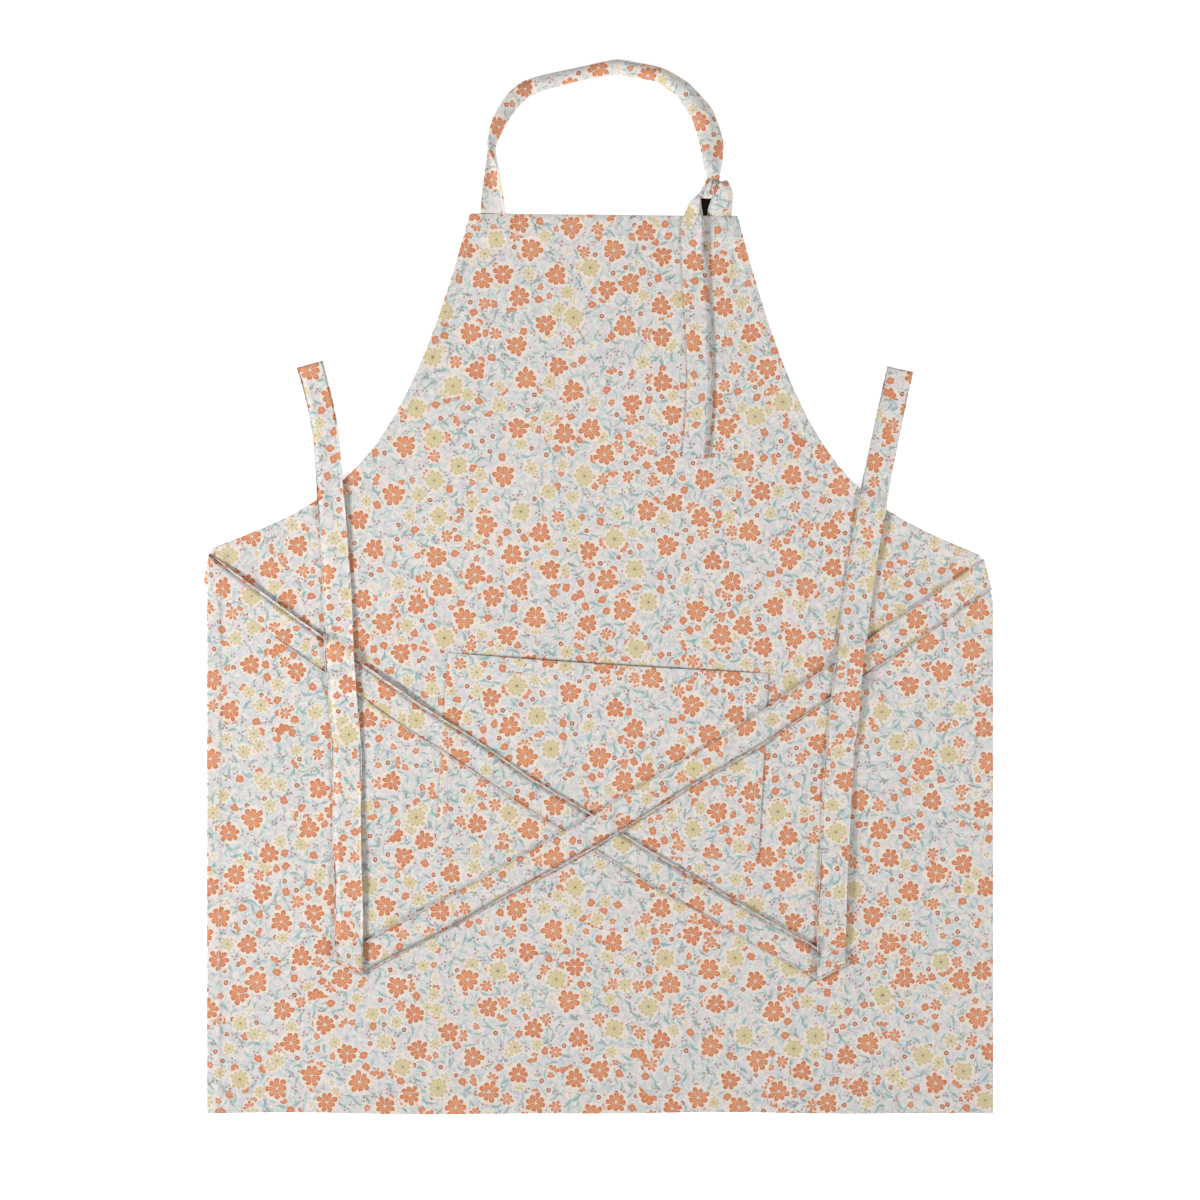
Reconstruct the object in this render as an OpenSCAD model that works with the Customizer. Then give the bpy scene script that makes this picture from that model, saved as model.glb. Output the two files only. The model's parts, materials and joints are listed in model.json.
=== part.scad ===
// Printed cotton bib apron, laid out flat on its back with the printed front upwards.
// X runs across the apron, Y from the bottom hem towards the neck strap, Z up from the table.
// The origin is on the table, on the skirt's centre line, half-way along the overall length.
// Every layer of cloth lies flat at its own height, with a little air between loose layers.

/* [Apron panel] */
// Width of the skirt from side to side
skirt_w = 700; // [580:5:840]
// Length from the bib's top edge to the bottom hem
apron_l = 800; // [660:5:960]
// Width of the bib along its top edge
bib_w = 244; // [210:2:294]
// How far the bib's middle stands to the right of the skirt's middle
bib_shift = 3.5; // [0:0.5:12]
// Height from the skirt's upper corners to the bib's top edge
armhole_drop = 293; // [240:1:352]
// How far the armholes run outwards as they leave the bib, as a share of their width
armhole_bow = 0.28; // [0.2:0.005:0.35]
// Thickness of the printed cotton
cloth_t = 0.5; // [0.4:0.05:0.6]

/* [Hems] */
// Width of the turned hem along the bib's top and the skirt's bottom
wide_hem = 20; // [14:1:26]
// Width of the turned hem down the two sides
side_hem = 12; // [8:1:18]
// Width of the turned hem round the armholes
armhole_hem = 8; // [6:0.5:10]
// How far a row of stitching stands in from the folded inner edge of its hem
stitch_in = 2; // [1.5:0.25:3]
// Width of a row of sewing thread
thread_w = 0.6; // [0.4:0.1:1]
// Height that a row of sewing thread stands above the cloth
thread_t = 0.2; // [0.1:0.05:0.25]

/* [Pocket] */
// Width of the patch pocket
pocket_w = 284; // [230:2:340]
// Height of the patch pocket
pocket_h = 170; // [140:2:204]
// Tilt of the pocket, clockwise
pocket_tilt = 3.2; // [0:0.1:5]
// Height of the pocket's middle above the bottom hem
pocket_up = 316; // [250:1:340]
// Distance of the pocket's middle to the right of the skirt's middle
pocket_shift = 2.5; // [-10:0.5:10]
// Width of the seam allowance turned under at the pocket's sides and bottom
pocket_turn = 8; // [6:1:12]
// Width of the hem at the pocket's mouth
pocket_hem = 16; // [12:1:22]
// Air between the panel and the pocket's front
pocket_air = 0.8; // [0.7:0.05:1]

/* [Straps] */
// Thickness of a strap, a strip of the same cotton folded in four and pressed
tape_t = 1; // [0.8:0.05:1.2]
// Width of the two waist ties
tie_w = 25; // [20:1:30]
// Width of the neck strap
neck_w = 22; // [18:1:26]
// Air between two loose layers that lie on each other
layer_gap = 0.3; // [0.25:0.05:0.4]
// Length of strap sewn down behind the hem at each end
sewn_l = 18; // [12:1:20]
// Side clearance round a strap's sewn end, in the hem that takes it
sewn_clear = 0.4; // [0.3:0.1:0.8]

/* [Neck strap] */
// Height of the neck strap's top above the bib's top edge
neck_rise = 139.5; // [120:0.5:168]
// Height of the arch over the two straight stretches of the neck strap
arch_h = 84; // [70:1:92]
// Distance from the bib's corner to the edge of the neck strap, at the left
neck_in = 13.5; // [4:0.5:18]
// Width of the short loop that the neck strap is knotted to
loop_w = 24; // [20:1:28]
// Distance from the bib's corner to the edge of that loop, at the right
loop_in = 8; // [4:1:10]
// Height of the loop above the bib's top edge
loop_h = 31; // [28:1:36]
// Air inside the loop, from front layer to back layer, that the knot passes through
loop_eye = 4; // [3.6:0.1:5]
// Width of the knot
knot_w = 17; // [15:0.5:18]
// Height of the knot above the table
knot_t = 7.5; // [7:0.1:8.5]
// Length of the free tail that hangs from the knot over the bib
tail_l = 207; // [160:1:250]
// How far the tail bows to the right, half-way down
tail_bow = 6.5; // [0:0.5:10]
// Length of the tail's first stretch, between the knot and the bib's edge
tail_top_l = 23; // [20:1:28]

/* [Waist ties] */
// Distance of the left tie's lower fold from the skirt's right side
left_fold_in = 144; // [110:1:170]
// Height of that fold above the bottom hem
left_fold_up = 126.5; // [100:0.5:150]
// Distance of the right tie's lower fold from the skirt's left side
right_fold_in = 126; // [110:1:170]
// Height of that fold above the bottom hem
right_fold_up = 131.5; // [100:0.5:150]
// How far each tie sags below a straight line on its way across the skirt
tie_sag = 12; // [0:1:16]
// Length of the left tie's end, from its lower fold upwards
left_end_l = 534; // [420:1:640]
// How far the left tie's end drifts outwards on its way up
left_end_drift = 62; // [20:1:70]
// Length of the right tie's end, from its lower fold upwards
right_end_l = 535; // [420:1:640]
// How far the right tie's end drifts outwards on its way up
right_end_drift = 26; // [0:1:60]
// Lean of the left tie's fold round the side of the skirt
left_side_lean = 12; // [8:1:14]
// Lean of the right tie's fold round the side of the skirt
right_side_lean = 14; // [8:1:16]

/* [Hidden] */
$fn = 48;

// Heights of the layers, counted up from the table
hem_t = 2 * cloth_t;
panel_top = hem_t + cloth_t;
pocket_top = panel_top + pocket_air + cloth_t;
left_tie_z = pocket_top + layer_gap;
right_tie_z = left_tie_z + tape_t + layer_gap;
tie_end_z = right_tie_z + tape_t + layer_gap;
tail_z = panel_top + layer_gap;

// The panel's corners
bottom_y = -(apron_l + neck_rise) / 2;
bib_y = bottom_y + apron_l;
bib_left = [bib_shift - bib_w / 2, bib_y];
bib_right = [bib_shift + bib_w / 2, bib_y];
side_x = skirt_w / 2;
// Each upper corner is pulled in a little by the tie sewn to it, and the right one down as well
left_corner_pull = 4;
right_corner_pull = 12;
right_corner_drop = 6;
left_corner = [left_corner_pull - side_x, bib_y - armhole_drop];
right_corner = [side_x - right_corner_pull, bib_y - armhole_drop - right_corner_drop];
// Height over which a side of the skirt runs in to its pulled corner
corner_fade = 40;
// Where an armhole's curve leads from the skirt's corner and from the bib, as shares of its size
armhole_reach = [0.485, 0.144];
armhole_fall = 0.79;
arc_steps = 28;
strap_steps = 14;

// The neck strap's arch: half an ellipse between two straight stretches
neck_x = bib_left[0] + neck_in + neck_w / 2;
// How much less the strap's middle line spans than the bib's top edge
arch_less = 51;
arch_right_x = neck_x + bib_w - arch_less;
arch_y = bib_y + neck_rise - neck_w / 2 - arch_h;
arch_mid = [(neck_x + arch_right_x) / 2, arch_y];
// Clearance where a strap's moving stretch meets its fixed one
joint_gap = 0.3;

// The loop, cinched to a waist by the knot beside it, and the tail below the knot
loop_x0 = bib_right[0] - loop_in - loop_w;
loop_x1 = bib_right[0] - loop_in;
loop_waist_in = 10;
loop_waist_x = loop_x0 + loop_waist_in;
knot_gap = 0.3;
knot_x1 = loop_waist_x - knot_gap;
knot_x0 = knot_x1 - knot_w;
knot_up = 15.3;
knot_y0 = bib_y + knot_up;
knot_y1 = knot_y0 + knot_w;
// Width of the strap where the knot gathers it, above and below
throat_w = 12;
tail_throat_w = 9;
// How far the gathered tail stands out past the knot's left side
tail_ear = 2;
tail_to_loop = 0.7;
tail_to_knot = 0.6;
tail_x = loop_x0 - tail_to_loop - neck_w / 2;
tail_top_y = knot_y0 - tail_to_knot;
tail_y = tail_top_y - tail_top_l;
// How far the tail's lower end stands to the right of its upper end
tail_lean = 2;

// Where the ties fold round the sides, below the skirt's corners, and where their lower folds lie
left_fold_down = 22;
right_fold_down = 21.5;
left_fold_out = 0.5;
right_fold_back = 5;
left_side_fold = [-side_x - left_fold_out, left_corner[1] - left_fold_down];
right_side_fold = [side_x - right_fold_back, right_corner[1] - right_fold_down];
left_fold = [side_x - left_fold_in, bottom_y + left_fold_up];
right_fold = [right_fold_in - side_x, bottom_y + right_fold_up];
left_tie_path = sagging(left_side_fold, left_fold, tie_sag);
right_tie_path = sagging(right_side_fold, right_fold, -tie_sag);
left_end_path = drifting(left_fold, left_end_l, left_end_drift);
right_end_path = drifting(right_fold, right_end_l, -right_end_drift);
// Directions, in degrees, of the fold lines; the strap lies to the left of each
left_side_crease = -90 - left_side_lean;
right_side_crease = 90 + right_side_lean;
left_crease = (end_angle(left_tie_path) + start_angle(left_end_path)) / 2;
right_crease = (end_angle(right_tie_path) + 360 + start_angle(right_end_path)) / 2 - 180;

// Distance from a tack to the strap's cut end and between the two bars of a tack
tack_in = 10;
tack_gap = 10;
// How far a cutting shape runs past what it cuts, and a joined shape into what it joins
cut_past = 1;
lap = 0.01;

cotton = [0.84, 0.81, 0.78];
cotton_light = [0.88, 0.85, 0.82];
strap_cotton = [0.80, 0.76, 0.74];
thread = [0.93, 0.90, 0.86];

// ---- Curves ----
function unit(a) = [cos(a), sin(a)];
function angle_of(v) = atan2(v[1], v[0]);
function start_angle(p) = angle_of(p[1] - p[0]);
function end_angle(p) = angle_of(p[len(p) - 1] - p[len(p) - 2]);
function reversed(p) = [for (i = [len(p) - 1:-1:0]) p[i]];

// Cubic curve from a to d, leaving a towards b and reaching d from c
function bezier(a, b, c, d, n) = [
    for (i = [0:n]) let (t = i / n, u = 1 - t)
        u * u * u * a + 3 * u * u * t * b + 3 * u * t * t * c + t * t * t * d
];

// Straight line from a to b that sags to the right of its direction by the given amount
function sagging(a, b, sag) = [
    for (i = [0:strap_steps]) let (t = i / strap_steps, across = unit(angle_of(b - a) - 90))
        a + t * (b - a) + 4 * t * (1 - t) * sag * across
];

// Line up from a point that drifts sideways more and more
function drifting(a, length, drift) = [
    for (i = [0:strap_steps]) let (t = i / strap_steps) a + [drift * t * t, length * t]
];

// Point i of a path moved sideways by d, to the left of its direction
function beside(p, i, d) = let (
        back = angle_of(p[i] - p[max(i - 1, 0)]),
        ahead = angle_of(p[min(i + 1, len(p) - 1)] - p[i]),
        turn = (ahead - back + 540) % 360 - 180
    ) p[i] + d / cos(turn / 2) * unit(back + turn / 2 + 90);

// The same for a path's first or last point, kept on a cut or fold line of the given angle
function on_cut(point, along, cut, d) = point + d / sin(cut - along) * unit(cut);

function side_of(p, d, cut0, cut1) = [
    on_cut(p[0], start_angle(p), cut0, d),
    for (i = [1:1:len(p) - 2]) beside(p, i, d),
    on_cut(p[len(p) - 1], end_angle(p), cut1, d)
];

// Closed outline of a band beside a path, from d0 to d1, with its ends cut at cut0 and cut1
function band(p, d0, d1, cut0, cut1) =
    concat(side_of(p, d0, cut0, cut1), reversed(side_of(p, d1, cut0, cut1)));

function square_band(p, d0, d1) = band(p, d0, d1, start_angle(p) + 90, end_angle(p) + 90);

// ---- The panel's edges, clockwise, with the cloth to the right of each ----
function armhole(from, to) = let (size = to - from) bezier(
    from, from + [armhole_bow * size[0], armhole_fall * size[1]],
    to - [armhole_reach[0] * size[0], armhole_reach[1] * size[1]], to, arc_steps);

top_edge = [bib_left, bib_right];
right_armhole = armhole(bib_right, right_corner);
right_edge = [right_corner, [side_x, right_corner[1] - corner_fade], [side_x, bottom_y]];
bottom_edge = [[side_x, bottom_y], [-side_x, bottom_y]];
left_edge = [[-side_x, bottom_y], [-side_x, left_corner[1] - corner_fade], left_corner];
left_armhole = reversed(armhole(bib_left, left_corner));

// ---- Shapes used by several pieces ----
module slab(outline, z, t) {
    translate([0, 0, z]) linear_extrude(t) polygon(outline);
}

// Row of thread beside a path, lying on cloth whose surface is at z
module stitch_row(path, d, z) {
    color(thread) slab(square_band(path, d - thread_w / 2, d + thread_w / 2), z, thread_t);
}

// Line across a strap's sewn end, at d from the middle of the tack that holds it
function tack_bar(sewn, width, d) = let (
        along = start_angle(sewn),
        middle = sewn[1] + (d - tack_in) * unit(along),
        half = (width / 2 - stitch_in) * unit(along + 90)
    ) [middle - half, middle + half];

// Two bars of thread across a strap's sewn end, on the panel's front
module tack(sewn, width) {
    for (d = [-tack_gap / 2, tack_gap / 2])
        stitch_row(tack_bar(sewn, width, d), 0, panel_top);
}

// Tie turned back over itself along a fold line, from the layer at z0 to the layer at z1
module half_turn(middle, crease, along, z0, z1) {
    outer = (z1 + tape_t - z0) / 2;
    fold_length = tie_w / abs(sin(crease - along));
    color(strap_cotton) translate([middle[0], middle[1], z0 + outer]) rotate([0, 0, crease])
        rotate([90, 0, 90]) linear_extrude(fold_length, center = true) difference() {
            circle(outer);
            circle(outer - tape_t);
            translate([0, -2 * outer]) square([2 * outer, 4 * outer]);
        }
}

// Direction of the strap behind the panel, which the fold turns to the direction on the front
function behind_angle(crease, along) = 2 * crease - along;

// Path of the end sewn behind the panel, from the fold inwards
function sewn_path(fold_point, crease, along) =
    let (inwards = behind_angle(crease, along) + 180)
    [fold_point, fold_point + (side_hem + sewn_l) * unit(inwards)];

left_sewn = sewn_path(left_side_fold, left_side_crease, start_angle(left_tie_path));
right_sewn = sewn_path(right_side_fold, right_side_crease, start_angle(right_tie_path));

module sewn_slot(path, width) {
    outward = path[0] - side_hem * unit(start_angle(path));
    slab(square_band([outward, path[1] + sewn_clear * unit(start_angle(path))],
        -width / 2 - sewn_clear, width / 2 + sewn_clear), -cut_past, hem_t + cut_past);
}

neck_sewn = [[neck_x, bib_y], [neck_x, bib_y - sewn_l]];
loop_sewn = [[loop_x1 - loop_w / 2, bib_y], [loop_x1 - loop_w / 2, bib_y - sewn_l]];

panel_outline = concat(top_edge, right_armhole, right_edge, bottom_edge, left_edge, left_armhole);

// The printed cotton of bib and skirt, one piece; its edges are turned twice to the back as hems
module body_panel() {
    color(cotton) slab(panel_outline, hem_t, cloth_t);
}

module hem_band(edge, width) {
    intersection() {
        slab(square_band(edge, -width, lap), 0, hem_t);
        slab(panel_outline, 0, hem_t);
    }
}

module hem_band_cut(edge, width) {
    slab(square_band(edge, -width, width), -cut_past, hem_t + 2 * cut_past);
}

// The turned cloth behind each edge; the straps' sewn ends sit in it
module top_hem() {
    color(cotton) difference() {
        hem_band(top_edge, wide_hem);
        sewn_slot(neck_sewn, neck_w);
        sewn_slot(loop_sewn, loop_w);
    }
}

module bottom_hem() {
    color(cotton) hem_band(bottom_edge, wide_hem);
}

module left_side_hem() {
    color(cotton) difference() {
        hem_band(left_edge, side_hem);
        hem_band_cut(bottom_edge, wide_hem);
        sewn_slot(left_sewn, tie_w);
    }
}

module right_side_hem() {
    color(cotton) difference() {
        hem_band(right_edge, side_hem);
        hem_band_cut(bottom_edge, wide_hem);
        sewn_slot(right_sewn, tie_w);
    }
}

module left_armhole_hem() {
    color(cotton) difference() {
        hem_band(left_armhole, armhole_hem);
        hem_band_cut(top_edge, wide_hem);
        hem_band_cut(left_edge, side_hem);
        sewn_slot(neck_sewn, neck_w);
        sewn_slot(left_sewn, tie_w);
    }
}

module right_armhole_hem() {
    color(cotton) difference() {
        hem_band(right_armhole, armhole_hem);
        hem_band_cut(top_edge, wide_hem);
        hem_band_cut(right_edge, side_hem);
        sewn_slot(loop_sewn, loop_w);
        sewn_slot(right_sewn, tie_w);
    }
}

module on_pocket() {
    translate([pocket_shift, bottom_y + pocket_up, 0]) rotate([0, 0, -pocket_tilt]) children();
}

// Patch pocket, one piece: its front, three edges turned under, and the hem of its open mouth
module pocket() {
    color(cotton_light) on_pocket() translate([-pocket_w / 2, -pocket_h / 2, pocket_top - cloth_t])
        cube([pocket_w, pocket_h, cloth_t]);
}

module pocket_turned_edges() {
    color(cotton_light) on_pocket() translate([-pocket_w / 2, -pocket_h / 2, panel_top]) difference() {
        cube([pocket_w, pocket_h, pocket_air]);
        translate([pocket_turn, pocket_turn, -cut_past])
            cube([pocket_w - 2 * pocket_turn, pocket_h, pocket_air + 2 * cut_past]);
    }
}

module pocket_mouth_hem() {
    color(cotton_light) on_pocket()
        translate([-pocket_w / 2 + pocket_turn, pocket_h / 2 - pocket_hem, pocket_top - 2 * cloth_t])
            cube([pocket_w - 2 * pocket_turn, pocket_hem, cloth_t]);
}

// ---- Neck strap ----
module neck_strap_sewn_end() {
    color(strap_cotton) slab(square_band(neck_sewn, -neck_w / 2, neck_w / 2), 0, hem_t);
}

module neck_loop_sewn_end() {
    color(strap_cotton) slab(square_band(loop_sewn, -loop_w / 2, loop_w / 2), 0, hem_t);
}

neck_path = concat(
    [[neck_x, bib_y + joint_gap]],
    [for (i = [0:arc_steps]) let (a = 180 - 180 * i / arc_steps)
        arch_mid + [(arch_right_x - arch_mid[0]) * cos(a), arch_h * sin(a)]]
);

// Long strap from the bib's left up and over to the knot; the knot is the strap itself, wrapped
module neck_strap() {
    knot_r = knot_t / 2;
    throat = [knot_x1 - throat_w / 2, knot_y1 - knot_r];
    color(strap_cotton) {
        slab(square_band(neck_path, -neck_w / 2, neck_w / 2), 0, tape_t);
        slab([[arch_right_x - neck_w / 2, arch_y], [throat[0] - throat_w / 2, throat[1]],
              [throat[0] + throat_w / 2, throat[1]], [arch_right_x + neck_w / 2, arch_y]], 0, tape_t);
        hull() for (x = [knot_x0 + knot_r, knot_x1 - knot_r], y = [knot_y0 + knot_r, knot_y1 - knot_r])
            translate([x, y, knot_r]) sphere(knot_r, $fn = 28);
        // The wrap that passes through the loop
        translate([knot_x1 - knot_r, knot_y0 + knot_r + 1, tape_t + loop_eye / 2]) rotate([0, 90, 0])
            cylinder(h = loop_x1 - knot_x1 + knot_r, r = loop_eye / 2 - layer_gap);
    }
}

// Short strap doubled into a loop, sewn into the top hem at the bib's right. Its back layer lies
// flat, its front layer climbs from the seam to the height of the eye, and the knot cinches it
module neck_loop() {
    outer = tape_t + loop_eye / 2;
    top_y = bib_y + loop_h - outer;
    root_y = bib_y + joint_gap;
    seam_l = 3;
    climb_l = 9;
    corner = 4;
    foot_l = 7;
    bulge = 1;
    color(strap_cotton) intersection() {
        translate([loop_x0 - bulge, 0, 0]) rotate([90, 0, 90]) linear_extrude(loop_w + 2 * bulge) {
            translate([top_y, outer]) difference() {
                circle(outer);
                circle(outer - tape_t);
                translate([-2 * outer, -2 * outer]) square([2 * outer, 4 * outer]);
            }
            translate([root_y, 0]) square([top_y - root_y, tape_t]);
            polygon([[root_y, 0], [root_y, 2 * tape_t], [root_y + climb_l, 2 * outer],
                     [top_y, 2 * outer], [top_y, 2 * outer - tape_t],
                     [root_y + climb_l + tape_t / 2, 2 * outer - tape_t],
                     [root_y + seam_l, tape_t], [root_y + seam_l, 0]]);
        }
        slab([[loop_x0, root_y], [loop_x0 + bulge, bib_y + foot_l],
              [loop_waist_x, knot_y0 - bulge], [loop_waist_x, bib_y + loop_h - corner],
              [loop_waist_x + corner, bib_y + loop_h], [loop_x1 - corner, bib_y + loop_h],
              [loop_x1, bib_y + loop_h - corner], [loop_x1 + bulge, (bib_y + knot_y1) / 2],
              [loop_x1, root_y]], -cut_past, 4 * outer);
    }
}

// First stretch of the tail, spreading from the knot to its full width over the bib's edge
module neck_strap_tail_top() {
    color(strap_cotton)
        slab([[knot_x0 - tail_ear, tail_top_y], [knot_x0 - tail_ear + tail_throat_w, tail_top_y],
              [tail_x + neck_w / 2, tail_y], [tail_x - neck_w / 2, tail_y]], tail_z, tape_t);
}

tail_path = sagging([tail_x, tail_y - joint_gap], [tail_x + tail_lean, tail_y - joint_gap - tail_l],
                    -tail_bow);

module neck_strap_tail() {
    color(strap_cotton)
        slab(band(tail_path, -neck_w / 2, neck_w / 2, 0, end_angle(tail_path) + 90), tail_z, tape_t);
}

// ---- Waist ties ----
module tie_sewn_end(sewn, crease) {
    color(strap_cotton) slab(band(sewn, -tie_w / 2, tie_w / 2, crease, start_angle(sewn) + 90), 0, hem_t);
}

// The end tucked into the side hem's corner, and the turn round the side to the front
module left_tie_sewn_end() { tie_sewn_end(left_sewn, left_side_crease); }
module right_tie_sewn_end() { tie_sewn_end(right_sewn, right_side_crease); }
module left_tie_side_fold() {
    half_turn(left_side_fold, left_side_crease, start_angle(left_tie_path), 0, left_tie_z);
}
module right_tie_side_fold() {
    half_turn(right_side_fold, right_side_crease, start_angle(right_tie_path), 0, right_tie_z);
}

module tie(path, side_crease, lower_crease, z) {
    color(strap_cotton) slab(band(path, -tie_w / 2, tie_w / 2, side_crease, lower_crease), z, tape_t);
}

// The left tie's run across the skirt, and the right tie's, which lies over it where they cross
module left_tie() { tie(left_tie_path, left_side_crease, left_crease, left_tie_z); }
module right_tie() { tie(right_tie_path, right_side_crease, right_crease, right_tie_z); }

// The lower folds, where each tie turns up towards the bib and over itself
module left_tie_fold() {
    half_turn(left_fold, left_crease, end_angle(left_tie_path), left_tie_z, tie_end_z);
}
module right_tie_fold() {
    half_turn(right_fold, right_crease, end_angle(right_tie_path), right_tie_z, tie_end_z);
}

module tie_end(path, crease) {
    color(strap_cotton)
        slab(band(path, -tie_w / 2, tie_w / 2, crease, end_angle(path) + 90), tie_end_z, tape_t);
}

module left_tie_end() { tie_end(left_end_path, left_crease); }
module right_tie_end() { tie_end(right_end_path, right_crease); }

// ---- Rows of sewing thread ----
// Where another row crosses, so that a row stops short of it
module crossing(path, d) {
    slab(square_band(path, d - thread_w, d + thread_w), panel_top - cut_past, thread_t + 2 * cut_past);
}

module side_crossings(armhole_edge, sewn) {
    crossing(bottom_edge, stitch_in - wide_hem);
    crossing(armhole_edge, stitch_in - armhole_hem);
    for (d = [-tack_gap / 2, tack_gap / 2])
        crossing(tack_bar(sewn, tie_w, d), 0);
}

module top_hem_stitching() { stitch_row(top_edge, stitch_in - wide_hem, panel_top); }
module bottom_hem_stitching() { stitch_row(bottom_edge, stitch_in - wide_hem, panel_top); }
module left_side_hem_stitching() {
    color(thread) difference() {
        stitch_row(left_edge, stitch_in - side_hem, panel_top);
        side_crossings(left_armhole, left_sewn);
    }
}
module right_side_hem_stitching() {
    color(thread) difference() {
        stitch_row(right_edge, stitch_in - side_hem, panel_top);
        side_crossings(right_armhole, right_sewn);
    }
}
module left_armhole_stitching() {
    color(thread) difference() {
        stitch_row(left_armhole, stitch_in - armhole_hem, panel_top);
        crossing(top_edge, stitch_in - wide_hem);
    }
}
module right_armhole_stitching() {
    color(thread) difference() {
        stitch_row(right_armhole, stitch_in - armhole_hem, panel_top);
        crossing(top_edge, stitch_in - wide_hem);
    }
}

module pocket_stitching() {
    x = pocket_w / 2;
    y = pocket_h / 2;
    on_pocket() stitch_row([[-x, y], [-x, -y], [x, -y], [x, y]], stitch_in, pocket_top);
}

module pocket_mouth_stitching() {
    x = pocket_w / 2 - 2 * stitch_in;
    y = pocket_h / 2 - pocket_hem;
    on_pocket() stitch_row([[-x, y], [x, y]], stitch_in, pocket_top);
}

module neck_strap_stitching() { stitch_row(neck_path, stitch_in - neck_w / 2, tape_t); }
module tail_stitching() { stitch_row(tail_path, stitch_in - neck_w / 2, tail_z + tape_t); }

// Edge stitching of a tie, between the fold lines at its two ends
module tie_stitching(path, cut0, cut1, z) {
    d = stitch_in - tie_w / 2;
    color(thread) slab(band(path, d - thread_w / 2, d + thread_w / 2, cut0, cut1), z + tape_t, thread_t);
}

module left_tie_stitching() {
    tie_stitching(left_tie_path, left_side_crease, left_crease, left_tie_z);
}
module right_tie_stitching() {
    tie_stitching(right_tie_path, right_side_crease, right_crease, right_tie_z);
}
module left_tie_end_stitching() {
    tie_stitching(left_end_path, left_crease, end_angle(left_end_path) + 90, tie_end_z);
}
module right_tie_end_stitching() {
    tie_stitching(right_end_path, right_crease, end_angle(right_end_path) + 90, tie_end_z);
}

module neck_strap_tack() { tack(neck_sewn, neck_w); }
module neck_loop_tack() { tack(loop_sewn, loop_w); }
module left_tie_tack() { tack(left_sewn, tie_w); }
module right_tie_tack() { tack(right_sewn, tie_w); }

body_panel();
top_hem();
bottom_hem();
left_side_hem();
right_side_hem();
left_armhole_hem();
right_armhole_hem();
pocket();
pocket_turned_edges();
pocket_mouth_hem();
neck_strap_sewn_end();
neck_loop_sewn_end();
neck_strap();
neck_loop();
neck_strap_tail_top();
neck_strap_tail();
left_tie_sewn_end();
left_tie_side_fold();
left_tie();
left_tie_fold();
left_tie_end();
right_tie_sewn_end();
right_tie_side_fold();
right_tie();
right_tie_fold();
right_tie_end();
top_hem_stitching();
bottom_hem_stitching();
left_side_hem_stitching();
right_side_hem_stitching();
left_armhole_stitching();
right_armhole_stitching();
pocket_stitching();
pocket_mouth_stitching();
neck_strap_stitching();
tail_stitching();
left_tie_stitching();
left_tie_end_stitching();
right_tie_stitching();
right_tie_end_stitching();
neck_strap_tack();
neck_loop_tack();
left_tie_tack();
right_tie_tack();
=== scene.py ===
import json
import math

import bpy
import numpy as np
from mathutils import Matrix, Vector


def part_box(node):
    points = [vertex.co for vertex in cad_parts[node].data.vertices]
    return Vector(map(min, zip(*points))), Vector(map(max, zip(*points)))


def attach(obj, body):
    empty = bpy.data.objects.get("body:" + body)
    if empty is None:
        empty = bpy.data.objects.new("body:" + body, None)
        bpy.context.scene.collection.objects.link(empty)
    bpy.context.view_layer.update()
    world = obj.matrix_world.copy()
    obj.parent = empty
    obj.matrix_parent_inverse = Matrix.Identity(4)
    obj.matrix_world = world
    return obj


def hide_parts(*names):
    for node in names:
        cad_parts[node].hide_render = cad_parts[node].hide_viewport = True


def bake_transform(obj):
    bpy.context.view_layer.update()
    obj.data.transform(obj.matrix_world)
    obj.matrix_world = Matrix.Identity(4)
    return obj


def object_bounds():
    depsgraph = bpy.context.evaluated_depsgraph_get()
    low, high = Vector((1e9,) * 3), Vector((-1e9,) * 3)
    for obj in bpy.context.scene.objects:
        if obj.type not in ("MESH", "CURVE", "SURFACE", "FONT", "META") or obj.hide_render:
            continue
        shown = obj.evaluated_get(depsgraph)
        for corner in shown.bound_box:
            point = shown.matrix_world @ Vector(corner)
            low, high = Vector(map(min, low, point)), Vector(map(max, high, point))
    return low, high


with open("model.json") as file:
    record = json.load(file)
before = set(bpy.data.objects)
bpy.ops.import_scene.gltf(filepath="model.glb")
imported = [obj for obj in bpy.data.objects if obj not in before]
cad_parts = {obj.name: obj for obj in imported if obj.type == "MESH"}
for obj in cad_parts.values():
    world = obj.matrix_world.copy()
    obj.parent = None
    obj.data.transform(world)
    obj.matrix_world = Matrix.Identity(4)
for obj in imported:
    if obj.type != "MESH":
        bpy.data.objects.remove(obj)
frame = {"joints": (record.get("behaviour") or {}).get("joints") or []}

cad_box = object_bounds()

# ---- Table, lamps and camera ----
# The apron lies on a white table and is looked at straight from above. Two wide soft lamps hang
# beyond its lower corners, the left one stronger, and the white room fills in the rest.
view_width = 1.071
view_middle_y = -0.0125
lens_mm, sensor_mm = 85.0, 36.0
camera = bpy.data.cameras.new("camera")
camera.lens, camera.sensor_width = lens_mm, sensor_mm
camera_stand = bpy.data.objects.new("camera", camera)
camera_stand.location = (0, view_middle_y, view_width * lens_mm / sensor_mm)
bpy.context.collection.objects.link(camera_stand)
bpy.context.scene.camera = camera_stand
bpy.context.scene.view_settings.view_transform = "Standard"


def hang_lamp(name, place, aim, size, watts):
    """A square soft lamp at a place, turned towards the point it lights."""
    lamp = bpy.data.lights.new(name, "AREA")
    lamp.size, lamp.energy, lamp.spread = size, watts, math.radians(110)
    stand = bpy.data.objects.new(name, lamp)
    stand.location = place
    stand.rotation_mode = "QUATERNION"
    stand.rotation_quaternion = (Vector(aim) - Vector(place)).to_track_quat("-Z", "Y")
    bpy.context.collection.objects.link(stand)


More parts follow.
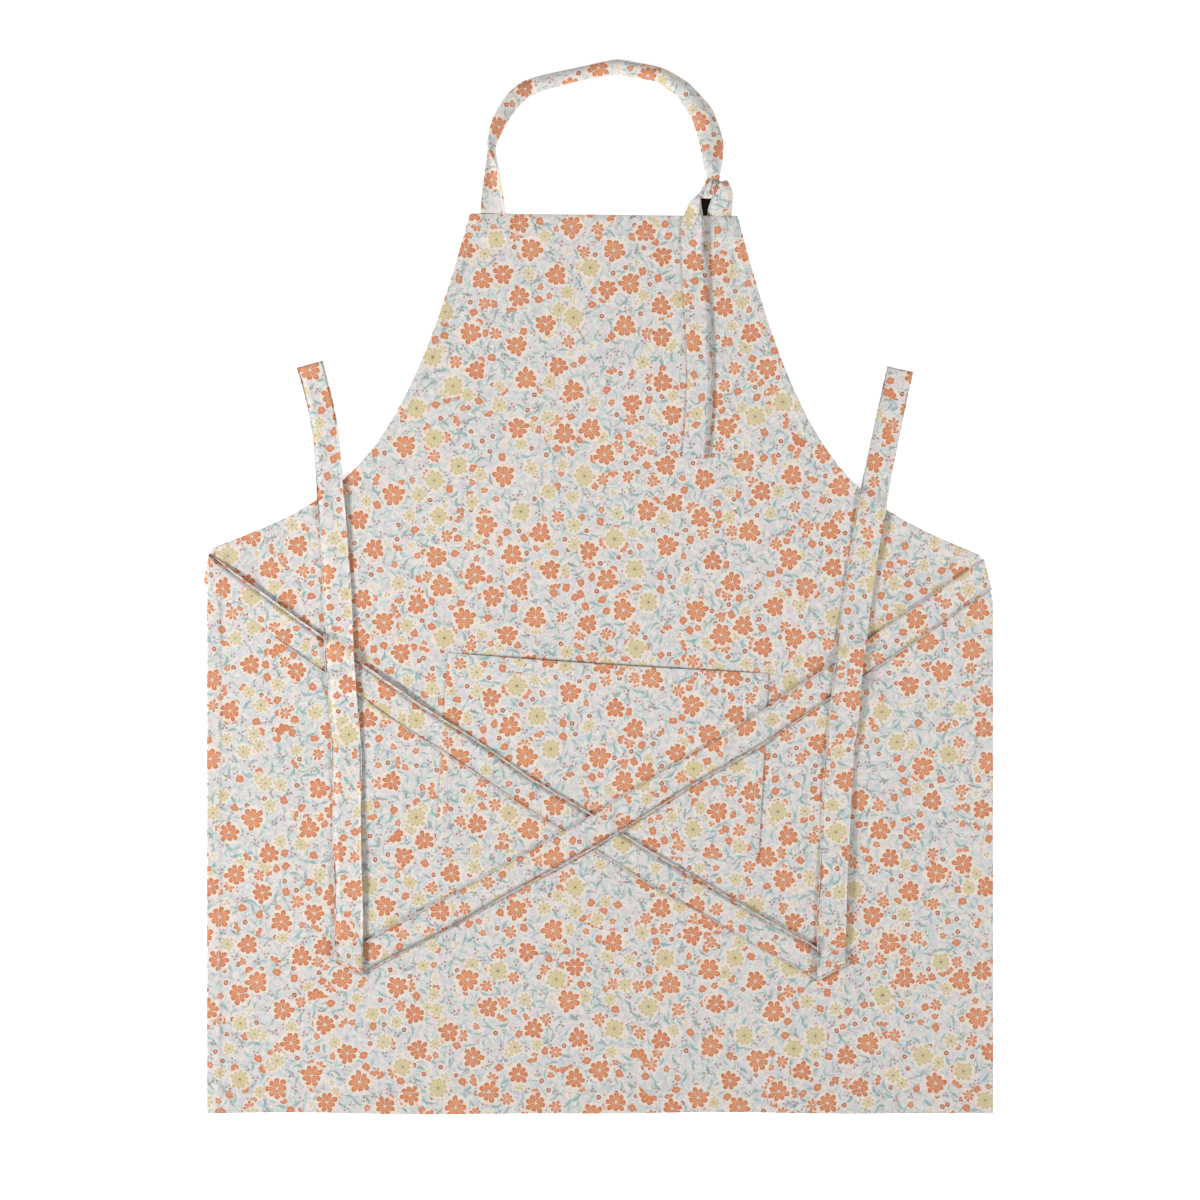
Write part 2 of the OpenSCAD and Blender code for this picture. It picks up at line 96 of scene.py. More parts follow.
hang_lamp("left_lamp", (-2.2, -0.55, 1.30), (0.0, 0.26, 0.0), 0.60, 28.0)
hang_lamp("right_lamp", (2.2, -0.50, 1.20), (0.0, 0.26, 0.0), 0.60, 14.5)

room = bpy.data.worlds.new("white_room")
room.use_nodes = True
room.node_tree.nodes["Background"].inputs["Color"].default_value = (1.0, 1.0, 1.0, 1.0)
room.node_tree.nodes["Background"].inputs["Strength"].default_value = 0.46
bpy.context.scene.world = room

table_half = 6.0
table_mesh = bpy.data.meshes.new("table")
table_mesh.from_pydata(
    [(x * table_half, y * table_half, -0.0002) for x, y in ((-1, -1), (1, -1), (1, 1), (-1, 1))],
    [], [(0, 1, 2, 3)])
table = bpy.data.objects.new("table", table_mesh)
bpy.context.collection.objects.link(table)
table_paint = bpy.data.materials.new("table_paint")
table_paint.use_nodes = True
table_shader = table_paint.node_tree.nodes["Principled BSDF"]
table_shader.inputs["Base Color"].default_value = (0.94, 0.94, 0.94, 1.0)
table_shader.inputs["Roughness"].default_value = 0.9
table_shader.inputs["Emission Color"].default_value = (1.0, 1.0, 1.0, 1.0)
table_shader.inputs["Emission Strength"].default_value = 0.45
table_shader.inputs["Specular IOR Level"].default_value = 0.1
table_mesh.materials.append(table_paint)

# ---- Printed cotton ----
# Light plain-woven cotton with an all-over print: orange and pale yellow daisies, small orange
# flowers, brown rings and sage leaves on an off-white ground with a faint pink and blue mottle.
dye = 0.76
weave_pitch = 0.55


def shade(red, green, blue):
    """A dyed colour, from the usual 0 to 255 values, as the shader wants it."""
    parts = [value / 255 for value in (red, green, blue)]
    linear = [p / 12.92 if p <= 0.04045 else ((p + 0.055) / 1.055) ** 2.4 for p in parts]
    return (*[dye * p for p in linear], 1.0)


def pen(tree):
    """Two tools that draw in a node tree: one adds any node, one adds a sum."""
    def add(kind, inputs=None, **settings):
        node = tree.nodes.new("ShaderNode" + kind)
        for key, value in settings.items():
            setattr(node, key, value)
        for socket, value in (inputs or {}).items():
            if isinstance(value, bpy.types.NodeSocket):
                tree.links.new(value, node.inputs[socket])
            else:
                node.inputs[socket].default_value = value
        return node

    def calc(operation, first, second=0.0, third=0.0):
        return add("Math", {0: first, 1: second, 2: third}, operation=operation).outputs[0]

    return add, calc


def print_tools(add, calc, cloth):
    """Tools for one printed motif after another on the cloth's own millimetres."""
    def scatter(spacing, jitter, turn, shift):
        """Spots about one spacing apart: where we are from the nearest one, and three random numbers."""
        turned = add("VectorRotate", {"Vector": cloth, "Angle": turn}, rotation_type="Z_AXIS").outputs[0]
        moved = add("VectorMath", {0: turned, 1: (shift, shift * 0.37, 0.0)}).outputs[0]
        spots = add("TexVoronoi", {"Vector": moved, "Scale": 1.0 / spacing, "Randomness": jitter},
                    voronoi_dimensions="2D")
        local = add("VectorMath", {0: moved, 1: spots.outputs["Position"]}, operation="SUBTRACT").outputs[0]
        dice = add("SeparateColor", {"Color": spots.outputs["Color"]}).outputs
        return local, dice[0], dice[1], dice[2]

    def between(value, low, high):
        return calc("MULTIPLY", calc("GREATER_THAN", value, low), calc("LESS_THAN", value, high))

    def soft_below(value, edge, softness):
        """1 where value is below the edge, 0 above it, with a soft rim."""
        return add("MapRange", {"Value": value, "From Min": edge + softness, "From Max": edge - softness,
                                "To Min": 0.0, "To Max": 1.0}).outputs[0]

    def polar(local):
        x, y = add("SeparateXYZ", {0: local}).outputs[:2]
        radius = calc("SQRT", calc("ADD", calc("MULTIPLY", x, x), calc("MULTIPLY", y, y)))
        return radius, calc("ARCTAN2", y, x)

    def petals(radius, angle, turn, count, size, width):
        """How far we are out of the nearest drop-shaped petal: below 1 is on the petal."""
        sector = calc("DIVIDE", 2 * math.pi, count)
        share = calc("DIVIDE", calc("ADD", angle, turn), sector)
        whole = calc("ROUND", share)
        off = calc("MULTIPLY", calc("SUBTRACT", share, whole), sector)
        uneven = calc("ADD", 0.92, calc("MULTIPLY", 0.12, calc("SINE", calc("MULTIPLY", whole, 2.4))))
        along = calc("DIVIDE", calc("MULTIPLY", radius, calc("COSINE", off)), calc("MULTIPLY", size, uneven))
        across = calc("DIVIDE", calc("MULTIPLY", radius, calc("SINE", off)), size)
        first = calc("DIVIDE", calc("SUBTRACT", along, 0.55), 0.47)
        second = calc("DIVIDE", across, calc("MULTIPLY_ADD", along, width, 0.02))
        return calc("ADD", calc("MULTIPLY", first, first), calc("MULTIPLY", second, second))

    def pick(dice, *steps):
        """A value that depends on the dice: pairs of upper bound and value."""
        value = steps[-1][1]
        for bound, choice in reversed(steps[:-1]):
            below = calc("LESS_THAN", dice, bound)
            value = calc("ADD", calc("MULTIPLY", below, choice),
                         calc("MULTIPLY", calc("SUBTRACT", 1.0, below), value))
        return value

    def over(base, colour, cover):
        """The base with a colour laid over it as far as it covers."""
        node = add("Mix", data_type="RGBA")
        for socket, value in ((0, cover), (6, base), (7, colour)):
            if isinstance(value, bpy.types.NodeSocket):
                node.id_data.links.new(value, node.inputs[socket])
            else:
                node.inputs[socket].default_value = value
        return node.outputs[2]

    return scatter, between, soft_below, polar, petals, pick, over


def flower_print():
    """The print as a node group: cloth coordinate in, colour out."""
    tree = bpy.data.node_groups.new("flower_print", "ShaderNodeTree")
    tree.interface.new_socket("Cloth", in_out="INPUT", socket_type="NodeSocketVector")
    tree.interface.new_socket("Colour", in_out="OUTPUT", socket_type="NodeSocketColor")
    add, calc = pen(tree)
    plain = tree.nodes.new("NodeGroupInput").outputs[0]
    # Drawn by hand: every outline wanders a little
    wander = add("TexNoise", {"Vector": plain, "Scale": 0.42, "Detail": 1.5}, noise_dimensions="2D")
    off_line = add("VectorMath", {0: wander.outputs[1], 1: (0.5, 0.5, 0.5)}, operation="SUBTRACT").outputs[0]
    cloth = add("VectorMath", {0: off_line, 1: (1.6, 1.6, 0.0), 2: plain},
                operation="MULTIPLY_ADD").outputs[0]
    scatter, between, soft_below, polar, petals, pick, over = print_tools(add, calc, cloth)

    # The ground: off-white with a soft mottle of pink, lilac and aqua
    mottle = add("TexNoise", {"Vector": cloth, "Scale": 0.16, "Detail": 2.0}, noise_dimensions="2D")
    hue = add("TexNoise", {"Vector": cloth, "Scale": 0.11, "Detail": 1.0}, noise_dimensions="2D")
    warm = add("MapRange", {"Value": hue.outputs[0], "From Min": 0.36, "From Max": 0.64}).outputs[0]
    tint = over(shade(207, 214, 215), shade(226, 210, 213), warm)
    patches = add("MapRange", {"Value": mottle.outputs[0], "From Min": 0.35, "From Max": 0.62}).outputs[0]
    ground = over(shade(232, 226, 219), tint, patches)

    # Thin stems
    for scale, colour, cover in ((0.075, shade(176, 194, 190), 0.55), (0.11, shade(190, 190, 202), 0.4)):
        stem = add("TexNoise", {"Vector": cloth, "Scale": scale, "Detail": 1.5}, noise_dimensions="2D")
        off = calc("ABSOLUTE", calc("SUBTRACT", stem.outputs[0], 0.5))
        ground = over(ground, colour, calc("MULTIPLY", soft_below(off, 0.010, 0.006), cover))

    def leaves(ground, spacing, turn, shift, length, width, share, colours, cover):
        local, kind, facing, tone = scatter(spacing, 0.85, turn, shift)
        lean = calc("MULTIPLY", facing, 6.283)
        x, y = add("SeparateXYZ", {0: add("VectorRotate", {"Vector": local, "Angle": lean},
                                         rotation_type="Z_AXIS").outputs[0]}).outputs[:2]
        bow = calc("ADD", y, calc("MULTIPLY", calc("MULTIPLY", x, x), 0.35 / length))
        taper = calc("DIVIDE", bow, calc("MULTIPLY", width, calc("SUBTRACT", 1.05,
                     calc("DIVIDE", calc("ABSOLUTE", x), 1.35 * length))))
        reach = calc("DIVIDE", x, length)
        out = calc("ADD", calc("MULTIPLY", reach, reach), calc("MULTIPLY", taper, taper))
        seen = calc("MULTIPLY", soft_below(out, 1.0, 0.3), calc("LESS_THAN", kind, share))
        colour = over(colours[0], colours[1], tone)
        return over(ground, colour, calc("MULTIPLY", seen, cover))

    ground = leaves(ground, 4.6, 0.7, 31.0, 2.1, 0.62, 0.75,
                    (shade(176, 202, 196), shade(212, 186, 200)), 0.6)
    ground = leaves(ground, 6.4, 1.9, 11.0, 3.0, 0.85, 0.7,
                    (shade(190, 204, 168), shade(166, 186, 200)), 0.66)
    ground = leaves(ground, 8.6, 0.2, 57.0, 5.0, 1.0, 0.60,
                    (shade(148, 181, 174), shade(172, 198, 190)), 0.85)
    ground = leaves(ground, 11.5, 2.6, 83.0, 6.6, 1.35, 0.58,
                    (shade(140, 174, 169), shade(160, 184, 184)), 0.88)

    orange, orange_edge = shade(224, 144, 102), shade(184, 104, 70)
    yellow, yellow_edge = shade(222, 208, 164), shade(190, 174, 126)
    halo = shade(240, 226, 212)

    # Small flowers, rings and mauve specks
    local, kind, facing, tone = scatter(10.8, 0.75, 1.2, 140.0)
    radius, angle = polar(local)
    turn = calc("MULTIPLY", facing, 6.283)
    size = pick(kind, (0.17, 3.9), (0.24, 3.2), (0.50, 2.6), (1.0, 3.3))
    out = petals(radius, angle, turn, pick(kind, (0.17, 6.0), (0.24, 5.0), (1.0, 3.0)), size, 0.52)
    small = calc("LESS_THAN", kind, 0.30)
    ground = over(ground, halo, calc("MULTIPLY", calc("MULTIPLY", small, soft_below(radius, 4.4, 0.7)), 0.7))
    bloom = over(orange_edge, orange, soft_below(out, 0.55, 0.4))
    bloom = over(bloom, over(yellow_edge, yellow, tone), between(kind, 0.24, 0.30))
    ground = over(ground, bloom, calc("MULTIPLY", small, soft_below(out, 1.0, 0.3)))
    ring = calc("ABSOLUTE", calc("SUBTRACT", radius, 1.6))
    ringed = between(kind, 0.30, 0.44)
    ground = over(ground, halo, calc("MULTIPLY", calc("MULTIPLY", ringed, soft_below(radius, 3.2, 0.6)), 0.8))
    ground = over(ground, shade(216, 168, 150), calc("MULTIPLY", ringed, soft_below(radius, 1.5, 0.3)))
    ground = over(ground, shade(170, 108, 88), calc("MULTIPLY", ringed, soft_below(ring, 0.55, 0.25)))
    speck = calc("MULTIPLY", between(kind, 0.44, 0.84), soft_below(out, 0.75, 0.3))
    speck_colour = over(shade(160, 130, 140), shade(182, 126, 100), tone)
    ground = over(ground, speck_colour, calc("MULTIPLY", speck, 0.8))

    def daisies(ground, spacing, jitter, turn_all, shift, kinds):
        """Daisies of two sizes: kinds gives the share, size and petal count of orange and yellow ones."""
        local, kind, facing, tone = scatter(spacing, jitter, turn_all, shift)
        radius, angle = polar(local)
        turn = calc("MULTIPLY", facing, 6.283)
        orange_to, orange_size, orange_count = kinds[0]
        large_to, large_size, large_count = kinds[1]
        small_to, small_size, small_count = kinds[2]
        bud_to = kinds[3]
        size = calc("MULTIPLY", calc("ADD", 0.92, calc("MULTIPLY", tone, 0.16)),
                    pick(kind, (orange_to, orange_size), (large_to, large_size), (small_to, small_size),
                         (1.0, orange_size)))
        count = pick(kind, (orange_to, orange_count), (large_to, large_count), (small_to, small_count),
                     (1.0, orange_count))
        width = pick(kind, (orange_to, 0.30), (small_to, 0.24), (1.0, 0.36))
        out = petals(radius, angle, turn, count, size, width)
        present = calc("LESS_THAN", kind, bud_to)
        bud = between(kind, small_to, bud_to)
        facing_up = calc("GREATER_THAN", calc("COSINE", calc("ADD", angle, turn)), 0.05)
        shown = calc("SUBTRACT", present, calc("MULTIPLY", bud, calc("SUBTRACT", 1.0, facing_up)))
        is_yellow = between(kind, orange_to, small_to)
        reach = calc("DIVIDE", radius, size)
        around = calc("MULTIPLY", soft_below(reach, 1.12, 0.06), shown)
        ground = over(ground, halo, calc("MULTIPLY", around, 0.8))
        flesh = over(orange_edge, over(orange, shade(236, 160, 112), tone), soft_below(out, 0.5, 0.45))
        pale = over(yellow_edge, over(yellow, shade(224, 212, 166), tone), soft_below(out, 0.5, 0.45))
        bloom = over(flesh, pale, is_yellow)
        ground = over(ground, bloom, calc("MULTIPLY", shown, soft_below(out, 1.0, 0.2)))
        heart = over(shade(238, 214, 176), shade(150, 128, 76), is_yellow)
        return over(ground, heart, calc("MULTIPLY", shown, soft_below(reach, 0.11, 0.05)))

    ground = daisies(ground, 20.5, 0.6, 0.45, 20.0,
                     ((0.23, 5.9, 7.0), (0.29, 6.6, 9.0), (0.45, 5.6, 8.0), 0.58))
    ground = daisies(ground, 31.5, 0.5, 1.05, 260.0,
                     ((0.54, 9.7, 8.0), (0.70, 9.0, 10.0), (0.83, 6.6, 8.0), 0.85))

    done = tree.nodes.new("NodeGroupOutput")
    tree.links.new(ground, done.inputs[0])
    return tree


flowers = flower_print()


def cotton(name):
    """Printed cotton: the print, a fine weave with slubs in its relief, and a soft matt face."""
    material = bpy.data.materials.new(name)
    material.use_nodes = True
    tree = material.node_tree
    add, calc = pen(tree)
    shader = tree.nodes["Principled BSDF"]
    lie = add("UVMap", uv_map="cloth").outputs[0]
    cloth = add("VectorMath", {0: lie, "Scale": 1000.0}, operation="SCALE").outputs[0]
    printed = tree.nodes.new("ShaderNodeGroup")
    printed.node_tree = flowers
    tree.links.new(cloth, printed.inputs[0])
    slub = add("TexNoise", {"Vector": cloth, "Scale": 0.9, "Detail": 3.0}, noise_dimensions="2D").outputs[0]
    warp = add("TexWave", {"Vector": cloth, "Scale": 0.314 / weave_pitch, "Distortion": 0.4},
               bands_direction="X").outputs["Fac"]
    weft = add("TexWave", {"Vector": cloth, "Scale": 0.314 / weave_pitch, "Distortion": 0.4},
               bands_direction="Y").outputs["Fac"]
    weave = calc("MULTIPLY", calc("ADD", warp, weft), 0.5)
    relief = calc("ADD", weave, slub)
    wear = calc("MULTIPLY_ADD", calc("SUBTRACT", weave, 0.5), 0.16, slub)
    faded = add("MapRange", {"Value": wear, "From Min": 0.25, "From Max": 0.75, "To Min": 0.94,
                             "To Max": 1.04}).outputs[0]
    colour = add("VectorMath", {0: printed.outputs[0], "Scale": faded}, operation="SCALE").outputs[0]
    tree.links.new(colour, shader.inputs["Base Color"])
    bump = add("Bump", {"Height": relief, "Distance": 0.00012, "Strength": 0.35}).outputs[0]
    tree.links.new(bump, shader.inputs["Normal"])
    shader.inputs["Roughness"].default_value = 0.88
    shader.inputs["Specular IOR Level"].default_value = 0.18
    shader.inputs["Sheen Weight"].default_value = 0.06
    return material


printed_cotton = cotton("printed_cotton")

# ---- Bib and skirt ----
# One cut piece of the printed cotton. Every edge is turned twice to the back and sewn down; the
# cloth lies loosely on the table, with soft ripples, packing creases and puckers along its hems.
cloth_t = 0.00042
layer_step = 0.0005
wide_hem, side_hem, armhole_hem = 0.020, 0.012, 0.008
armhole_bow = 0.28
armhole_reach = (0.485, 0.144)
armhole_fall = 0.79
corner_fade = 0.040

panel_low, panel_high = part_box("body_panel")
left_low, left_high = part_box("left_armhole_hem")
right_low, right_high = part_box("right_armhole_hem")
left_corner = np.array([left_low.x, left_low.y])
right_corner = np.array([right_high.x, right_low.y])
bib_left = np.array([left_high.x, panel_high.y])
bib_right = np.array([right_low.x, panel_high.y])


def ease(share):
    """0 below 0, 1 above 1, and a smooth step between."""
    share = np.clip(share, 0.0, 1.0)
    return share * share * (3 - 2 * share)


def waves(x, y, length, seed, count=9):
    """Random soft ripples about one length apart, from about -1 to 1."""
    draw = np.random.default_rng(seed)
    total = np.zeros(np.broadcast(x, y).shape)
    for _ in range(count):
        turn, phase = draw.uniform(0, 2 * math.pi, 2)
        pitch = length * draw.uniform(0.7, 1.6)
        total += np.cos((x * math.cos(turn) + y * math.sin(turn)) * 2 * math.pi / pitch + phase)
    return total / (1.4 * math.sqrt(count))


def spaced(start, end, step):
    return np.linspace(start, end, max(1, round(abs(end - start) / step)) + 1)


def armhole_line(start, end, steps=160):
    """The armhole's edge, from the bib's corner to the skirt's."""
    size = end - start
    t = np.linspace(0, 1, steps)[:, None]
    second = start + np.array([armhole_bow * size[0], armhole_fall * size[1]])
    third = end - np.array([armhole_reach[0] * size[0], armhole_reach[1] * size[1]])
    return (1 - t) ** 3 * start + 3 * (1 - t) ** 2 * t * second + 3 * (1 - t) * t * t * third + t ** 3 * end


left_armhole = armhole_line(bib_left, left_corner)
right_armhole = armhole_line(bib_right, right_corner)


def side_line(armhole, side_x):
    """A whole side of the panel from the bottom up, as points in order of height."""
    corner = armhole[-1]
    side = np.array([[side_x, panel_low.y], [side_x, corner[1] - corner_fade], corner])
    return np.vstack([side, armhole[::-1][1:]])


left_side = side_line(left_armhole, panel_low.x)
right_side = side_line(right_armhole, panel_high.x)


def left_x(y):
    return np.interp(y, left_side[:, 1], left_side[:, 0])


def right_x(y):
    return np.interp(y, right_side[:, 1], right_side[:, 0])


def away_from(line, x, y):
    """Distance of every point to a line of points."""
    nearest = np.full(np.broadcast(x, y).shape, 9.0)
    for a, b in zip(line[:-1:4], line[4::4]):
        run = b - a
        t = np.clip(((x - a[0]) * run[0] + (y - a[1]) * run[1]) / (run @ run), 0, 1)
        nearest = np.minimum(nearest, np.hypot(x - a[0] - t * run[0], y - a[1] - t * run[1]))
    return nearest


def hem_share(x, y):
    """1 on a hem, 0 inside it, with a soft step as wide as two layers of cloth."""
    def step(width, distance):
        return ease((width - distance + 0.0008) / 0.0016)
    share = np.maximum(step(wide_hem, y - panel_low.y), step(wide_hem, panel_high.y - y))
    share = np.maximum(share, step(side_hem, x - left_x(y)) * (y < left_corner[1]))
    share = np.maximum(share, step(side_hem, right_x(y) - x) * (y < right_corner[1]))
    share = np.maximum(share, step(armhole_hem, away_from(left_armhole, x, y)))
    return np.maximum(share, step(armhole_hem, away_from(right_armhole, x, y)))


# Where a strap's sewn end lies under the edge and lifts it: its node and the height of the strap
sewn_under = (("neck_strap_sewn_end", 0.0010), ("neck_loop_sewn_end", 0.0020),
              ("left_tie_sewn_end", 0.0010), ("right_tie_sewn_end", 0.0010))
# Pressed creases left by packing: across x or y, place, height
creases = (("x", -0.145, 0.0007), ("x", 0.141, 0.0006), ("y", -0.285, 0.0006), ("y", -0.062, 0.0004))
# Hem edges that stand up a little: place, length along the edge, height
lifted_edges = (((-0.262, 0.077), 0.030, 0.0045), ((0.262, 0.070), 0.030, 0.0025),
                ((-0.335, -0.452), 0.035, 0.0012), ((0.30, -0.46), 0.05, 0.0015))


def panel_z(x, y):
    """Height of the middle of the cloth over the table."""
    share = hem_share(x, y)
    ripple = 0.0013 * (0.5 + 0.5 * waves(x, y, 0.25, 3)) + 0.00022 * waves(x, y, 0.075, 5)
    ripple += 0.00005 * waves(x, y, 0.022, 8)
    for axis, place, height in creases:
        off, along = (x - place, y) if axis == "x" else (y - place, x)
        strength = 0.65 + 0.35 * waves(along, 0 * along, 0.21, 17)
        ripple = ripple + height * strength * np.exp(-np.abs(off) / 0.006)
    near_seam = 4 * share * (1 - share)
    pucker = 0.00016 * waves(x, y, 0.011, 12) * np.maximum(near_seam, 0.35 * share)
    z = 0.00030 + 2 * layer_step * share + ripple * (1 - 0.45 * share) + pucker
    for node, height in sewn_under:
        low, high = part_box(node)
        out = np.hypot(np.maximum(np.maximum(low.x - x, x - high.x), 0),
                       np.maximum(np.maximum(low.y - y, y - high.y), 0))
        z = z + (height + 0.0002) * ease(1 - out / 0.011)
    for place, length, height in lifted_edges:
        z = z + height * ease(1 - np.hypot(x - place[0], y - place[1]) / length) ** 1.5
    return z


def new_piece(name, points, faces, corner_uv, material):
    """A smooth mesh piece whose cloth coordinate, in metres, is given for every face corner."""
    mesh = bpy.data.meshes.new(name)
    mesh.from_pydata(np.asarray(points).tolist(), [], faces)
    mesh.uv_layers.new(name="cloth").data.foreach_set("uv", np.asarray(corner_uv, np.float32).ravel())
    mesh.shade_smooth()
    mesh.materials.append(material)
    piece = bpy.data.objects.new(name, mesh)
    bpy.context.collection.objects.link(piece)
    return piece


def mitred(loop, hems, corners):
    """Depth of the hem at every point of the outline: its width, less near the corners."""
    step = np.linalg.norm(np.roll(loop, -1, axis=0) - loop, axis=1)
    at = np.concatenate([[0], np.cumsum(step)])
    depth = hems.copy()
    for corner in corners:
        ahead, back = loop[(corner + 2) % len(loop)] - loop[corner], loop[corner - 2] - loop[corner]
        cosine = ahead @ back / np.linalg.norm(ahead) / np.linalg.norm(back)
        slope = math.tan(math.acos(np.clip(cosine, -1, 1)) / 2)
        gap = np.abs(at[:-1] - at[corner])
        depth = np.minimum(depth, np.minimum(gap, at[-1] - gap) * slope * 0.97)
    return depth


def turned_cloth(name, x, y, z_of, hems, corners, turn_twice, uv_shift, material):
    """A sheet of cloth over a grid of places, with its edges rolled under and turned in as hems."""
    rows, columns = x.shape
    index = np.arange(rows * columns).reshape(rows, columns)
    loop = np.concatenate([index[0, :-1], index[:-1, -1], index[-1, :0:-1], index[:0:-1, 0]])
    points = np.stack([x.ravel(), y.ravel(), z_of(x, y).ravel()], axis=1)
    uv = points[:, :2] + uv_shift
    edge = points[loop]
    tangent = np.roll(edge, -1, axis=0) - np.roll(edge, 1, axis=0)
    inward = np.stack([-tangent[:, 1], tangent[:, 0]], axis=1)
    inward /= np.linalg.norm(inward, axis=1)[:, None]
    depth = np.maximum(mitred(edge[:, :2], hems, corners), 0.0003)
    drop = (2 if turn_twice else 1) * layer_step
    roll = drop / 2
    profile = [(-roll * math.sin(a), -roll * (1 - math.cos(a)), roll * a) for a in np.radians((45, 90, 135))]
    turned = [(0.2 * depth, -drop), (0.6 * depth, -drop), (depth - 0.0007, -drop)]
    if turn_twice:
        turned += [(depth, -drop * 0.88), (depth, -drop * 0.62), (depth - 0.0007, -drop / 2),
                   (0.6 * depth, -drop / 2), (0.15 * depth, -drop / 2)]
    rings, length = [loop], roll * math.pi
    all_points, all_uv = [points], [uv]
    count = len(points)
    for out, down, run in profile:
        all_points.append(np.column_stack([edge[:, :2] + inward * out, edge[:, 2] + down]))
        all_uv.append(uv[loop] - inward * run)
    for into, down in turned:
        into = np.maximum(np.broadcast_to(into, depth.shape), 0.0001)
        place = edge[:, :2] + inward * into[:, None]
        all_points.append(np.column_stack([place, z_of(place[:, 0], place[:, 1]) + down]))
        length = length + 0.0002
        all_uv.append(uv[loop] - inward * (length + into)[:, None])
    for k in range(1, len(all_points)):
        rings.append(count + np.arange(len(loop)))
        count += len(loop)
    middle_quads = np.stack([index[:-1, :-1], index[:-1, 1:], index[1:, 1:], index[1:, :-1]], axis=-1)
    quads = [middle_quads.reshape(-1, 4)]
    for near, far in zip(rings[:-1], rings[1:]):
        quads.append(np.stack([near, far, np.roll(far, -1), np.roll(near, -1)], axis=1))
    quads = np.vstack(quads)
    uv = np.vstack(all_uv)
    piece = new_piece(name, np.vstack(all_points), quads.tolist(), uv[quads.ravel()], material)
    thick = piece.modifiers.new("cloth_thickness", "SOLIDIFY")
    thick.thickness, thick.offset = cloth_t, 0.0
    return piece


def near_marks(start, end, step, marks, fine=0.0012, reach=0.003):
    """Places from start to end, closer together near each mark."""
    places = [spaced(start, end, step)]
    places += [np.arange(m - reach, m + reach, fine) for m in marks]
    places = np.unique(np.clip(np.concatenate(places), start, end))
    keep = np.concatenate([[True], np.diff(places) > 0.0005])
    keep[-1] = True
    return places[keep]


grid_step = 0.0042
rows_y = np.unique(np.round(np.concatenate([
    near_marks(panel_low.y, right_corner[1], grid_step, [panel_low.y + 0.002, panel_low.y + wide_hem]),
    spaced(right_corner[1], left_corner[1], 0.0015), spaced(left_corner[1], left_corner[1] + 0.055, 0.0016),
    near_marks(left_corner[1] + 0.055, panel_high.y, grid_step, [panel_high.y - wide_hem])]), 6))
rim = np.array([0, 0.001, 0.003, 0.0055, 0.007, 0.008, 0.009, 0.0105, 0.0115, 0.0125, 0.014, 0.017, 0.021,
                0.025])
inner = np.linspace(0, 1, 152)[1:-1]
start_x, end_x = left_x(rows_y)[:, None], right_x(rows_y)[:, None]
panel_x = np.hstack([start_x + rim, start_x + rim[-1] + inner * (end_x - start_x - 2 * rim[-1]),
                     end_x - rim[::-1]])
panel_y = np.broadcast_to(rows_y[:, None], panel_x.shape).copy()
bottom_wave = 0.0011 * waves(panel_x[:1], 0 * panel_x[:1], 0.16, 21) + 0.0003
panel_y += bottom_wave * ease(1 - (panel_y - panel_low.y) / 0.07)
top_slope = -0.0012 * (panel_x - (bib_left[0] + bib_right[0]) / 2) / (bib_right[0] - bib_left[0]) * 2
panel_y += top_slope * ease(1 - (panel_high.y - panel_y) / 0.07)

rows, columns = panel_x.shape
side_hems = [np.where(rows_y < corner[1], side_hem, armhole_hem) for corner in (right_corner, left_corner)]
panel_hems = np.concatenate([np.full(columns - 1, wide_hem), side_hems[0][:-1],
                             np.full(columns - 1, wide_hem), side_hems[1][:0:-1]])
right_turn = int(np.argmin(np.abs(rows_y - right_corner[1])))
left_turn = int(np.argmin(np.abs(rows_y - left_corner[1])))
panel_corners = [0, columns - 1, columns - 1 + right_turn, columns + rows - 2, 2 * columns + rows - 3,
                 2 * columns + rows - 3 + (rows - 1 - left_turn)]
panel = turned_cloth("apron_panel", panel_x, panel_y, panel_z, panel_hems, panel_corners, True,
                     np.array([0.0, 0.0]), printed_cotton)
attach(panel, "apron")
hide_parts("body_panel", "top_hem", "bottom_hem", "left_side_hem", "right_side_hem",
            "left_armhole_hem", "right_armhole_hem")
# Cut area: the finished outline, and twice the hem's width along every edge
outline_y = spaced(panel_low.y, panel_high.y, 0.001)
outline_w = right_x(outline_y) - left_x(outline_y)
hem_area = 2 * wide_hem * (outline_w[0] + outline_w[-1])
for corner, hole in ((left_corner, left_armhole), (right_corner, right_armhole)):
    hem_area += 2 * side_hem * (corner[1] - panel_low.y)
    hem_area += 2 * armhole_hem * np.sum(np.linalg.norm(np.diff(hole, axis=0), axis=1))

# Height of the top of whatever lies on the table so far, so that each next layer lies on it
stack_step = 0.001
stack_low = np.array([cad_box[0].x, cad_box[0].y]) - 0.03
stack_size = np.ceil((np.array([cad_box[1].x, cad_box[1].y]) + 0.03 - stack_low) / stack_step).astype(int)
stack_x = stack_low[0] + stack_step * np.arange(stack_size[0])[None, :]
stack_y = stack_low[1] + stack_step * np.arange(stack_size[1])[:, None]
inside = ((stack_x > left_x(stack_y)) & (stack_x < right_x(stack_y))
          & (stack_y > panel_low.y) & (stack_y < panel_high.y))
stack = np.where(inside, panel_z(*np.broadcast_arrays(stack_x, stack_y)) + cloth_t / 2, 0.0)


def widened(field, reach):
    """The highest value within reach, along both directions."""
    for axis in (0, 1):
        best = field.copy()
        for k in range(1, reach + 1):
            best = np.maximum(best, np.maximum(np.roll(field, k, axis), np.roll(field, -k, axis)))
        field = best
    return field


def blurred(field, spread):
    """The field smoothed over a few cells."""
    taps = np.arange(-int(2 * spread), int(2 * spread) + 1)
    weights = np.exp(-0.5 * (taps / spread) ** 2)
    weights /= weights.sum()
    for axis in (0, 1):
        field = sum(w * np.roll(field, k, axis) for k, w in zip(taps, weights))
    return field


